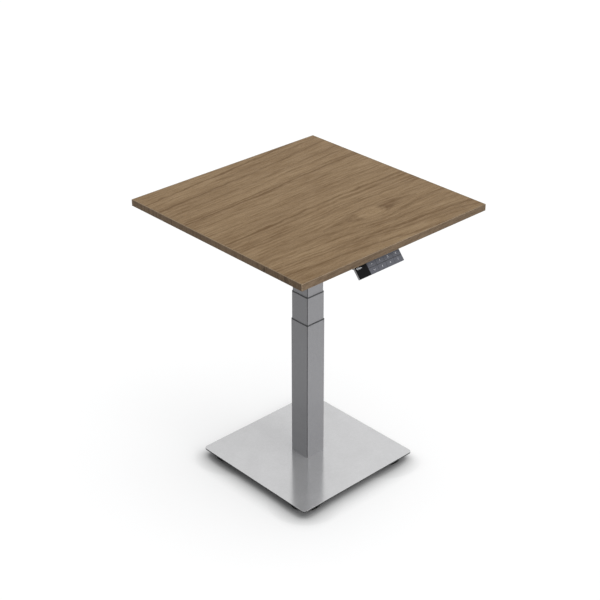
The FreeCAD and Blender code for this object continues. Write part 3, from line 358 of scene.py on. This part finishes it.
def turned_effect():
    """Machined metal: fine tool marks stacked along Z, with stains in tone and gloss."""
    group, given, out = effect(
        "tool_marks",
        [("Vector", "Vector", None), ("Metal", "Color", None), ("Stain", "Color", None),
         ("Mark Scale", "Float", 2600.0), ("Gloss Low", "Float", 0.22), ("Gloss High", "Float", 0.34)],
        [("Color", "Color"), ("Roughness", "Float"), ("Height", "Float")])
    place = given["Vector"]
    flat = stretch(group, place, (0.02, 0.02, 1.0))
    marks = node(group, "ShaderNodeTexNoise", values={"Detail": 3.0},
                 links={"Vector": flat, "Scale": given["Mark Scale"]}).outputs["Fac"]
    stain = noise(group, place, scale=70.0, detail=4.0)
    colour = blend(group, spread(group, stain, 0.45, 0.75, 0.0, 0.6), given["Metal"], given["Stain"])
    rough = spread(group, sum_of(group, "ADD", stain, sum_of(group, "MULTIPLY", marks, 0.5)), 0.5, 1.0,
                   given["Gloss Low"], given["Gloss High"])
    return finish_effect(group, out, Color=colour, Roughness=rough, Height=marks)


ARRIS = arris_effect()
VENEER = veneer_effect()
POWDER = powder_effect()
MOULDED = moulded_effect()
TURNED = turned_effect()


# ---------------------------------------------------------------- finishes

def started(name, metallic=0.0, specular=0.5, coat=0.0, coat_roughness=0.1):
    """A new material with its Principled shader, and the object's own coordinates."""
    material = bpy.data.materials.new(name)
    material.use_nodes = True
    tree = material.node_tree
    shader = tree.nodes["Principled BSDF"]
    shader.inputs["Metallic"].default_value = metallic
    shader.inputs["Specular IOR Level"].default_value = specular
    shader.inputs["Coat Weight"].default_value = coat
    shader.inputs["Coat Roughness"].default_value = coat_roughness
    place = node(tree, "ShaderNodeTexCoord").outputs["Object"]
    return material, tree, shader, place


def placed(tree, group, place, values):
    """Puts a shared effect in a material with its own values."""
    made = node(tree, "ShaderNodeGroup", node_tree=group, links={"Vector": place})
    for label, value in values.items():
        made.inputs[label].default_value = value
    return made.outputs


def surfaced(tree, shader, colour, rough, height, depth, distance=0.0002):
    """Links colour, gloss and a bump to a material's shader."""
    tree.links.new(colour, shader.inputs["Base Color"])
    tree.links.new(rough, shader.inputs["Roughness"])
    bump = node(tree, "ShaderNodeBump", values={"Strength": depth, "Distance": distance},
                links={"Height": height})
    tree.links.new(bump.outputs["Normal"], shader.inputs["Normal"])


def edge_highlight_mask(tree, place):
    """Mask of the painted highlight: eased edges, and the edging where it turns round an upright corner of
    the top.
    """
    parts = node(tree, "ShaderNodeSeparateXYZ", links={0: place}).outputs
    sideways = sum_of(tree, "ABSOLUTE", parts["X"])
    nearer = sum_of(tree, "MINIMUM", sideways, sum_of(tree, "ABSOLUTE", parts["Y"]))
    corner = spread(tree, nearer, TOP_HALF - CORNER_HIGHLIGHT, TOP_HALF - CORNER_HIGHLIGHT / 2.0, 0.0, 1.0)
    return sum_of(tree, "MAXIMUM", corner, node(tree, "ShaderNodeGroup", node_tree=ARRIS).outputs["Mask"])


def powder_paint(name, paint, fleck, fleck_share, gloss, metallic, edge=None, edge_share=0.0, specular=0.5,
                 rim=None):
    """Baked powder paint. Where given, a set tone is mixed onto rounded edges and another onto upright faces:
    the column's edge tone is painted shade, and the base's upright-face tone is painted shade.
    """
    material, tree, shader, place = started(name, metallic=metallic, specular=specular)
    parts = placed(tree, POWDER, place, {"Paint": paint, "Fleck": fleck, "Fleck Share": fleck_share,
                                         "Gloss Low": gloss[0], "Gloss High": gloss[1]})
    colour = parts["Color"]
    masks = node(tree, "ShaderNodeGroup", node_tree=ARRIS).outputs
    if edge:
        colour = blend(tree, sum_of(tree, "MULTIPLY", masks["Mask"], edge_share), colour, edge)
    # A tone for upright faces, where given, is painted shade.
    if rim:
        colour = blend(tree, masks["Upright"], colour, rim)
    surfaced(tree, shader, colour, parts["Roughness"], parts["Height"], 0.12)
    return material


def moulded(name, resin, gloss, grain=2200.0, depth=0.2, specular=0.5, coat=0.0):
    """Moulded plastic or rubber."""
    material, tree, shader, place = started(name, specular=specular, coat=coat)
    parts = placed(tree, MOULDED, place, {"Resin": resin, "Grain Scale": grain,
                                          "Gloss Low": gloss[0], "Gloss High": gloss[1]})
    surfaced(tree, shader, parts["Color"], parts["Roughness"], parts["Height"], depth, 0.0001)
    return material


def machined(name, metal, stain, gloss, marks=2600.0, depth=0.15, turn=(0.0, 0.0, 0.0)):
    """Bare or plated metal with tool marks."""
    material, tree, shader, place = started(name, metallic=1.0)
    turned = stretch(tree, place, (1.0, 1.0, 1.0), turn=turn)
    parts = placed(tree, TURNED, turned, {"Metal": metal, "Stain": stain, "Mark Scale": marks,
                                          "Gloss Low": gloss[0], "Gloss High": gloss[1]})
    surfaced(tree, shader, parts["Color"], parts["Roughness"], parts["Height"], depth, 0.00005)
    return material


def veneered(name, early, late, pore, ring_depth, shift, turn, arris=None, arris_share=0.0, specular=0.16):
    """Wood decor under a clear matt lacquer, with a painted highlight on edges and corners where a tone for
    it is given.
    """
    material, tree, shader, place = started(name, specular=specular)
    turned = stretch(tree, place, (1.0, 1.0, 1.0), shift=shift, turn=turn)
    parts = placed(tree, VENEER, turned, {"Early Wood": early, "Late Wood": late, "Pore": pore,
                                          "Ring Depth": ring_depth})
    colour = parts["Color"]
    if arris:
        colour = blend(tree, sum_of(tree, "MULTIPLY", edge_highlight_mask(tree, place), arris_share), colour, arris)
    surfaced(tree, shader, colour, parts["Roughness"], parts["Height"], 0.25, 0.0001)
    return material


def circuit_board():
    """Green solder mask over copper tracks."""
    material, tree, shader, place = started("solder_mask", specular=0.5, coat=0.3, coat_roughness=0.15)
    cells = node(tree, "ShaderNodeTexVoronoi", values={"Scale": 260.0}, distance="CHEBYCHEV",
                 links={"Vector": place})
    track = spread(tree, cells.outputs["Distance"], 0.30, 0.36, 0.0, 1.0)
    tone = noise(tree, place, scale=60.0)
    mask = blend(tree, tone, (0.008, 0.060, 0.026, 1), (0.012, 0.085, 0.036, 1))
    colour = blend(tree, sum_of(tree, "MULTIPLY", track, 0.5), mask, (0.030, 0.150, 0.060, 1))
    surfaced(tree, shader, colour, swing(tree, tone, 0.25, 0.4), track, 0.3, 0.00003)
    return material


def ink():
    """White pad-printed ink."""
    material, tree, shader, place = started("white_ink", specular=0.3)
    tone = noise(tree, place, scale=900.0, detail=3.0)
    colour = blend(tree, tone, (0.62, 0.62, 0.64, 1), (0.74, 0.74, 0.76, 1))
    surfaced(tree, shader, colour, swing(tree, tone, 0.45, 0.6), tone, 0.1, 0.00002)
    return material


def lit_window():
    """White light behind smoked plastic, a little uneven."""
    material, tree, shader, place = started("lit_segments", specular=0.3)
    tone = noise(tree, place, scale=700.0, detail=2.0)
    colour = blend(tree, tone, (0.80, 0.82, 0.84, 1), (0.92, 0.93, 0.95, 1))
    surfaced(tree, shader, colour, swing(tree, tone, 0.4, 0.5), tone, 0.05, 0.00002)
    tree.links.new(colour, shader.inputs["Emission Color"])
    shader.inputs["Emission Strength"].default_value = 0.5
    return material


# Tones of the wood decor: early and late wood and pores, and the painted highlight on the edging's eased
# edges and upright corners.
TOP_EARLY = (0.312, 0.211, 0.112, 1)
TOP_LATE = (0.130, 0.070, 0.025, 1)
SIDE_EARLY = (0.212, 0.149, 0.094, 1)
SIDE_LATE = (0.066, 0.043, 0.024, 1)
PORE = (0.081, 0.050, 0.025, 1)
EDGE_HIGHLIGHT = (0.44, 0.335, 0.23, 1)
QUARTER = math.radians(90.0)


def edging_strip(name, early, late, arris_share, turn, shift):
    """The edging's decor runs along the strip, with a painted highlight on its eased edge."""
    return veneered(name, early, late, PORE, 0.6, shift, turn, arris=EDGE_HIGHLIGHT, arris_share=arris_share)


FINISHES = {
    # The base's dark tone on upright faces is painted shade on the plate's side faces.
    "silver_base": powder_paint("silver_powder_base", (0.63, 0.63, 0.635, 1), (0.81, 0.81, 0.82, 1), 0.30,
                                (0.13, 0.17), 0.62, edge=(0.66, 0.66, 0.67, 1), edge_share=0.25,
                                rim=(0.07, 0.07, 0.073, 1)),
    # The column's dark edge tone is painted shade along its rounded corners and edges.
    "silver_column": powder_paint("silver_powder_column", (0.262, 0.261, 0.271, 1),
                                  (0.440, 0.439, 0.449, 1), 0.30, (0.38, 0.46), 0.25,
                                  edge=(0.03, 0.03, 0.033, 1), edge_share=1.0, specular=0.4),
    "collar_plastic": moulded("slider_trim", (0.030, 0.031, 0.034, 1), (0.45, 0.55)),
    "pad_rubber": moulded("foot_rubber", (0.006, 0.006, 0.006, 1), (0.80, 0.92), grain=1400.0, depth=0.4,
                          specular=0.04),
    "zinc_steel": machined("bright_zinc", (0.58, 0.60, 0.62, 1), (0.46, 0.47, 0.50, 1), (0.24, 0.38)),
    "black_steel": powder_paint("black_oxide_steel", (0.030, 0.030, 0.032, 1), (0.06, 0.06, 0.06, 1), 0.2,
                                (0.42, 0.52), 0.5),
    "bright_steel": machined("ground_steel", (0.55, 0.56, 0.57, 1), (0.40, 0.40, 0.41, 1), (0.16, 0.26)),
    "bearing_steel": machined("polished_bearing", (0.62, 0.62, 0.63, 1), (0.50, 0.50, 0.52, 1), (0.10, 0.2)),
    "nut_brass": machined("turned_brass", (0.62, 0.44, 0.18, 1), (0.44, 0.29, 0.11, 1), (0.2, 0.32)),
    "glide_plastic": moulded("white_acetal", (0.62, 0.61, 0.58, 1), (0.36, 0.46), specular=0.45),
    "cast_aluminium": machined("cast_case", (0.44, 0.45, 0.46, 1), (0.34, 0.34, 0.35, 1), (0.44, 0.60),
                               marks=300.0, depth=0.3),
    "motor_black": powder_paint("motor_enamel", (0.016, 0.016, 0.017, 1), (0.04, 0.04, 0.04, 1), 0.2,
                                (0.34, 0.42), 0.1),
    "frame_black": powder_paint("black_powder_frame", (0.020, 0.020, 0.021, 1), (0.05, 0.05, 0.052, 1), 0.25,
                                (0.42, 0.52), 0.0, edge=(0.06, 0.06, 0.062, 1), edge_share=0.5),
    "wood_top": veneered("walnut_decor", TOP_EARLY, TOP_LATE, PORE, 0.74, (-0.085, 0.184, 0.0),
                         (0.0, 0.0, 0.0)),
    "black_plastic": moulded("black_case_plastic", (0.020, 0.020, 0.021, 1), (0.48, 0.58), grain=1500.0,
                             depth=0.4),
    "white_plastic": moulded("plug_plastic", (0.60, 0.60, 0.58, 1), (0.38, 0.48)),
    "circuit_board": circuit_board(),
    "lead_black": moulded("lead_sheath", (0.018, 0.018, 0.019, 1), (0.45, 0.55), grain=1800.0, depth=0.25),
    "clip_plastic": moulded("clip_nylon", (0.030, 0.030, 0.031, 1), (0.42, 0.52)),
    "silver_plastic": moulded("silver_housing_plastic", (0.48, 0.48, 0.50, 1), (0.34, 0.42), specular=0.6),
    "key_grey": moulded("key_film", (0.088, 0.090, 0.104, 1), (0.48, 0.58), grain=3000.0, depth=0.25,
                        specular=0.3),
    "window_black": moulded("dark_window", (0.007, 0.007, 0.0075, 1), (0.34, 0.42), grain=500.0, depth=0.02,
                            specular=0.05),
    "switch_metal": machined("switch_can", (0.60, 0.60, 0.58, 1), (0.45, 0.45, 0.44, 1), (0.22, 0.34)),
}
# The front and left strips' tones and highlight shares are painted light and shade: the left strip is painted
# lighter and the front a little darker than the rear and right, and the front's painted highlight is weaker
# and the left's stronger.
EDGING = {
    "edging_front": edging_strip("edging_decor_front", (0.208, 0.146, 0.093, 1), (0.065, 0.042, 0.024, 1),
                                 0.6, (QUARTER, 0.0, 0.0), (0.0, 0.0, 0.0)),
    "edging_rear": edging_strip("edging_decor_rear", SIDE_EARLY, SIDE_LATE, 0.8,
                                (QUARTER, 0.0, 0.0), (0.4, 0.0, 0.3)),
    "edging_left": edging_strip("edging_decor_left", (0.260, 0.176, 0.106, 1), (0.082, 0.050, 0.027, 1),
                                1.0, (QUARTER, 0.0, -QUARTER), (0.2, 0.1, 0.0)),
    "edging_right": edging_strip("edging_decor_right", SIDE_EARLY, SIDE_LATE, 0.8,
                                 (QUARTER, 0.0, -QUARTER), (0.7, 0.2, 0.0)),
}


def dress_cad():
    """Gives every carried-over CAD node its finish, slot by slot."""
    for name, cad in NODES.items():
        for slot in cad.material_slots:
            slot.material = EDGING.get(name) or FINISHES[SLOTS[name]]


# ---------------------------------------------------------------- new pieces

def piece(name, shape, material, body):
    """Makes an object of a bmesh, and gives it a finish and the body that it rides on."""
    mesh = bpy.data.meshes.new(name)
    shape.to_mesh(mesh)
    shape.free()
    return dressed(bpy.data.objects.new(name, mesh), material, body)


def dressed(made, material, body):
    """Puts an object in the scene with a finish in its one material slot, and the body that it rides on."""
    bpy.context.scene.collection.objects.link(made)
    made.data.materials.clear()
    made.data.materials.append(material)
    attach(made, body)
    return made


def merged(name):
    """A CAD node's shape with its loose triangles joined and its flat faces made whole."""
    shape = bmesh.new()
    shape.from_mesh(NODES[name].data)
    bmesh.ops.remove_doubles(shape, verts=shape.verts, dist=WELD)
    bmesh.ops.dissolve_limit(shape, angle_limit=FLAT_WITHIN, verts=shape.verts, edges=shape.edges)
    return shape


def softened(name, width, material, body):
    """Stands for a CAD node, with its sharp edges rounded as a mould or a deburring tool leaves them."""
    shape = merged(name)
    sharp = [edge for edge in shape.edges
             if len(edge.link_faces) == 2 and edge.calc_face_angle() > SHARP_FROM]
    bmesh.ops.bevel(shape, geom=sharp, offset=width, segments=2, profile=0.5, affect="EDGES",
                    clamp_overlap=True, material=-1)
    soft = piece(name + "_finished", shape, material, body)
    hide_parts(name)
    return soft


def solids_of(name):
    """Lowest and highest corners of each separate solid of a node, in a fixed order."""
    shape = merged(name)
    waiting = set(shape.verts)
    boxes = []
    while waiting:
        reached = [waiting.pop()]
        for corner in reached:
            for edge in corner.link_edges:
                other = edge.other_vert(corner)
                if other in waiting:
                    waiting.remove(other)
                    reached.append(other)
        boxes.append([[round(pick(corner.co[axis] for corner in reached), 6) for axis in range(3)]
                      for pick in (min, max)])
    shape.free()
    return sorted(boxes)


def turned_profile(shape, profile, centre, steps=24):
    """Spins a profile of (radius, height) points about an upright axis into a closed solid."""
    points = [shape.verts.new((centre[0] + radius, centre[1], centre[2] + height))
              for radius, height in profile]
    lines = [shape.edges.new(pair) for pair in zip(points, points[1:])]
    bmesh.ops.spin(shape, geom=points + lines, cent=centre, axis=(0.0, 0.0, 1.0), angle=math.tau, steps=steps,
                   use_merge=True, use_duplicate=False)


def screw_profile(head, head_height, core, length, cone, thread):
    """Points (radius, height) of a screw's half section, from the bottom of its socket up to its tip."""
    socket = head * SOCKET_SHARE
    ease = head * 0.08
    profile = [(0.0, head_height * 0.7), (socket * 0.8, head_height * 0.6), (socket, ease / 2.0),
               (socket + ease / 2.0, 0.0)]
    if cone:
        profile += [(head - ease / 2.0, 0.0), (head, ease / 2.0)]
    else:
        profile += [(head - 2.0 * ease, 0.0), (head - ease, ease / 2.0), (head, 2.0 * ease),
                    (head, head_height)]
    profile += [(core, head_height)]
    ridge = head_height + thread
    while thread and ridge + 2.0 * thread < length:
        profile += [(core * 0.80, ridge), (core, ridge + thread / 2.0)]
        ridge += thread
    return profile + [(core, length - core * 0.4), (core * 0.7, length), (0.0, length)]


def lobe_socket(shape, centre, socket, head_height):
    """Shapes the round drive socket of the screw at a place into lobes."""
    for corner in shape.verts:
        out_x = corner.co.x - centre[0]
        out_y = corner.co.y - centre[1]
        inside = math.hypot(out_x, out_y) < socket * 1.02 and corner.co.z < centre[2] + head_height * 0.8
        if inside and abs(out_x) + abs(out_y) > 0.0001:
            lobe = 1.0 + 0.10 * math.cos(SOCKET_LOBES * math.atan2(out_y, out_x))
            corner.co.x = centre[0] + out_x * lobe
            corner.co.y = centre[1] + out_y * lobe


def socket_screws(name, shank, head_height, body, cone=False, thread=0.0):
    """Stands for a node of screws that point upwards: lobed drive sockets in the heads, ridged threads."""
    shape = bmesh.new()
    for low, high in solids_of(name):
        centre = ((low[0] + high[0]) / 2.0, (low[1] + high[1]) / 2.0, low[2])
        head = (high[0] - low[0]) / 2.0
        core = head - head_height if cone else shank
        turned_profile(shape, screw_profile(head, head_height, core, high[2] - low[2], cone, thread), centre)
        lobe_socket(shape, centre, head * SOCKET_SHARE, head_height)
    bmesh.ops.remove_doubles(shape, verts=shape.verts, dist=WELD)
    bmesh.ops.recalc_face_normals(shape, faces=shape.faces)
    made = piece(name + "_with_sockets", shape, FINISHES["zinc_steel"], body)
    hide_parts(name)
    return made


def flat_bar(shape, place, width, height, corner, segments):
    """Adds a thin flat bar of ink thickness about a place, its four corners cut off or rounded."""
    size = Matrix.Diagonal((width, height, INK_THICKNESS, 1.0))
    made = bmesh.ops.create_cube(shape, size=1.0, matrix=Matrix.Translation(place) @ size)
    own = set(made["verts"])
    upright = [edge for edge in shape.edges
               if edge.verts[0] in own and abs(edge.verts[0].co.z - edge.verts[1].co.z) > INK_THICKNESS / 2.0]
    bmesh.ops.bevel(shape, geom=upright, offset=corner, segments=segments, profile=0.5, affect="EDGES",
                    clamp_overlap=True, material=-1)


def lit_digits(name, number, tall, centre, material, body):
    """A height reading in seven-segment digits, lit behind the dark window."""
    half = tall / 4.0
    bar = tall * 0.13
    long = half * 2.0 - bar * 0.5
    shape = bmesh.new()
    start = -tall * 0.45 * (len(number) - 1)
    for count, digit in enumerate(number):
        middle = start + tall * 0.90 * count
        for letter in LIT_SEGMENTS[digit]:
            x, y, upright = SEGMENTS[letter]
            width, height = (bar, long) if upright else (long, bar)
            flat_bar(shape, (middle + x * half, y * half, 0.0), width, height, bar * 0.42, 1)
    point = Matrix.Translation((start + tall * 1.35, -tall / 2.0, INK_THICKNESS / 2.0))
    bmesh.ops.create_circle(shape, cap_ends=True, segments=12, radius=bar * 0.6, matrix=point)
    bmesh.ops.transform(shape, matrix=face_frame(centre, INK_THICKNESS / 2.0), verts=shape.verts)
    return piece(name, shape, material, body)


def row_groove(material):
    """A thin dark bar on the bar between the two rows of keys: painted shade standing for the groove there.
    """
    low = solids_of("key_lower_1")[0][0]
    high = solids_of("key_upper_4")[0][1]
    middle = (face_of("key_lower_1") + face_of("key_upper_4")) / 2.0
    shape = bmesh.new()
    flat_bar(shape, (0.0, 0.0, 0.0), high[0] - low[0], GROOVE_WIDTH, GROOVE_CORNER, 3)
    bmesh.ops.transform(shape, matrix=face_frame(middle, INK_THICKNESS / 2.0), verts=shape.verts)
    return piece("key_row_line", shape, material, "inner_stage")


def finer_shapes():
    """The parts whose edges or heads show more than their solids hold."""
    for name, width in EASED:
        softened(name, width, FINISHES[SLOTS[name]], "inner_stage")
    for key in KEYS:
        softened(key, KEY_EASE, FINISHES["key_grey"], key)
    socket_screws("base_screws", 0.004, 0.004, "base", cone=True, thread=0.001)
    socket_screws("head_screws", 0.003, 0.0025, "inner_stage", thread=0.001)
    socket_screws("wood_screws", 0.002, 0.0025, "inner_stage", thread=0.0018)
    socket_screws("case_screws", 0.0025, 0.0025, "inner_stage", thread=0.0008)


def face_frame(centre, height):
    """Places flat work on the handset's sloping face."""
    turn = Matrix((Vector((1.0, 0.0, 0.0)), UP_THE_FACE, OUT_OF_FACE)).transposed().to_4x4()
    return Matrix.Translation(centre + OUT_OF_FACE * height) @ turn


def face_of(name):
    """Middle of a sloping face, from the corners of its node that stand furthest out."""
    corners = [corner.co.copy() for corner in NODES[name].data.vertices]
    furthest = max(corner.dot(OUT_OF_FACE) for corner in corners)
    outer = [corner for corner in corners if corner.dot(OUT_OF_FACE) > furthest - 0.00002]
    low = Vector(min(corner[axis] for corner in outer) for axis in range(3))
    high = Vector(max(corner[axis] for corner in outer) for axis in range(3))
    return (low + high) / 2.0


def lettering(name, words, size, centre, material, body):
    """Printed lettering, set flat on the sloping face as a thin layer of ink."""
    curve = bpy.data.curves.new(name, "FONT")
    curve.body = words
    curve.size = size
    curve.align_x = "CENTER"
    curve.align_y = "CENTER"
    curve.extrude = INK_THICKNESS / 2.0
    curve.resolution_u = 4
    holder = bpy.data.objects.new(name + "_curve", curve)
    bpy.context.scene.collection.objects.link(holder)
    bpy.context.view_layer.update()
    mesh = bpy.data.meshes.new_from_object(holder.evaluated_get(bpy.context.evaluated_depsgraph_get()))
    bpy.data.objects.remove(holder)
    mesh.name = name
    mesh.transform(face_frame(centre, INK_THICKNESS / 2.0))
    return dressed(bpy.data.objects.new(name, mesh), material, body)


def chevron(name, points_up, span, centre, material, body):
    """A printed arrowhead made of two arms of one width."""
    arm = span * 0.22
    rise = span * 0.5 if points_up else -span * 0.5
    shape = bmesh.new()
    outline = [(-span / 2.0, -rise / 2.0), (0.0, rise / 2.0), (span / 2.0, -rise / 2.0),
               (span / 2.0, -rise / 2.0 - arm), (0.0, rise / 2.0 - arm), (-span / 2.0, -rise / 2.0 - arm)]
    corners = [shape.verts.new((x, y, 0.0)) for x, y in outline]
    left = shape.faces.new((corners[0], corners[5], corners[4], corners[1]))
    right = shape.faces.new((corners[1], corners[4], corners[3], corners[2]))
    bmesh.ops.solidify(shape, geom=[left, right], thickness=INK_THICKNESS)
    bmesh.ops.recalc_face_normals(shape, faces=shape.faces)
    bmesh.ops.transform(shape, matrix=face_frame(centre, INK_THICKNESS / 2.0), verts=shape.verts)
    return piece(name, shape, material, body)


def key_marks(material):
    """Arrows, preset numbers and the letters of memory and set, one mark on each key."""
    words = {"key_upper_2": "1", "key_upper_3": "2", "key_upper_4": "M",
             "key_lower_2": "3", "key_lower_3": "4", "key_lower_4": "S"}
    for key in KEYS:
        centre = face_of(key)
        mark = "mark_" + key[4:]
        if key in words:
            lettering(mark, words[key], LETTER_SIZE, centre, material, key)
        else:
            chevron(mark, key == "key_upper_1", ARROW_SPAN, centre, material, key)


def handset_print():
    """All that is printed on the handset or lit behind its window, and the painted shade of the groove
    between its key rows.
    """
    key_marks(ink())
    reading = face_of("display_window") + UP_THE_FACE * READING_UP
    digits = reading + Vector((DIGITS_ALONG, 0.0, 0.0))
    unit = reading + Vector((UNIT_ALONG, 0.0, 0.0))
    lit = lit_window()
    lit_digits("height_reading", "935", DIGIT_HEIGHT, digits, lit, "inner_stage")
    lettering("height_unit", "cm", UNIT_SIZE, unit, lit, "inner_stage")
    row_groove(FINISHES["black_plastic"])


# ---------------------------------------------------------------- light, floor and camera

def studio():
    """An even pale sky, a broad soft sun from above and a low one from the front."""
    scene = bpy.context.scene
    scene.view_settings.view_transform = "Standard"
    world = bpy.data.worlds.new("studio")
    scene.world = world
    world.use_nodes = True
    tree = world.node_tree
    tree.nodes.clear()
    seen = seen_plainly(tree)
    lit = node(tree, "ShaderNodeBackground", values={"Color": (0.97, 0.985, 1.0, 1), "Strength": 0.55})
    shown = node(tree, "ShaderNodeBackground", values={"Color": (1, 1, 1, 1), "Strength": 1.0})
    both = node(tree, "ShaderNodeMixShader", links={0: seen, 1: lit.outputs[0], 2: shown.outputs[0]})
    node(tree, "ShaderNodeOutputWorld", links={"Surface": both.outputs[0]})

    for name, energy, breadth, toward in (("soft_sun", 1.02, 50.0, (0.12, -0.22, 0.90)),
                                          ("low_sun", 2.34, 40.0, (0.20, -0.90, 0.15))):
        lamp = bpy.data.lights.new(name, "SUN")
        lamp.energy = energy
        lamp.angle = math.radians(breadth)
        sun = bpy.data.objects.new(name, lamp)
        scene.collection.objects.link(sun)
        sun.visible_glossy = False
        sun.rotation_euler = Vector(toward).to_track_quat("Z", "Y").to_euler()


def floor_glow(tree):
    """How bright the floor shows: dark under the base and shaded beside it, most to its left and front."""
    leaning = node(tree, "ShaderNodeCombineXYZ", values={0: 0.58, 1: 0.42, 2: 0.70}).outputs[0]
    shades = []
    for reach, strength in FLOOR_SHADES:
        open_sky = node(tree, "ShaderNodeAmbientOcclusion", values={"Distance": reach},
                        links={"Normal": leaning}, samples=32)
        shades.append(sum_of(tree, "POWER", open_sky.outputs["AO"], strength))
    close = node(tree, "ShaderNodeValToRGB", links={"Fac": shades[0]})
    for place, level in SHADE_TONES:
        close.color_ramp.elements.new(place).color = (level, level, level, 1)
    return sum_of(tree, "MULTIPLY", sum_of(tree, "MULTIPLY", close.outputs[0], shades[1]), FLOOR_GLOW)


def pale_floor():
    """The floor's finish: matt to the lamps, with a pale glow that only the eye, glosses and glass see."""
    material = bpy.data.materials.new("pale_floor")
    material.use_nodes = True
    tree = material.node_tree
    tree.nodes.clear()
    matt = node(tree, "ShaderNodeBsdfDiffuse", values={"Color": (0.30, 0.30, 0.30, 1)})
    white = node(tree, "ShaderNodeEmission", values={"Color": (1, 1, 1, 1)},
                 links={"Strength": sum_of(tree, "MULTIPLY", floor_glow(tree), seen_plainly(tree))})
    both = node(tree, "ShaderNodeAddShader", links={0: matt.outputs[0], 1: white.outputs[0]})
    node(tree, "ShaderNodeOutputMaterial", links={"Surface": both.outputs[0]})
    return material


def floor():
    """The studio floor, which darkens where the base shades it."""
    shape = bmesh.new()
    bmesh.ops.create_circle(shape, cap_ends=True, segments=96, radius=FLOOR_RADIUS)
    mesh = bpy.data.meshes.new("studio_floor")
    shape.to_mesh(mesh)
    shape.free()
    ground = bpy.data.objects.new("studio_floor", mesh)
    bpy.context.scene.collection.objects.link(ground)
    ground.data.materials.append(pale_floor())


def camera():
    """A long lens, looking down on the front corner."""
    lens = bpy.data.cameras.new("camera")
    lens.lens = LENS_LENGTH
    lens.sensor_width = 36.0
    lens.clip_end = 200.0
    made = bpy.data.objects.new("camera", lens)
    bpy.context.scene.collection.objects.link(made)
    made.location = CAMERA_PLACE
    made.rotation_euler = [math.radians(angle) for angle in CAMERA_TURN]
    bpy.context.scene.camera = made


camera()
studio()
floor()
dress_cad()
finer_shapes()
handset_print()
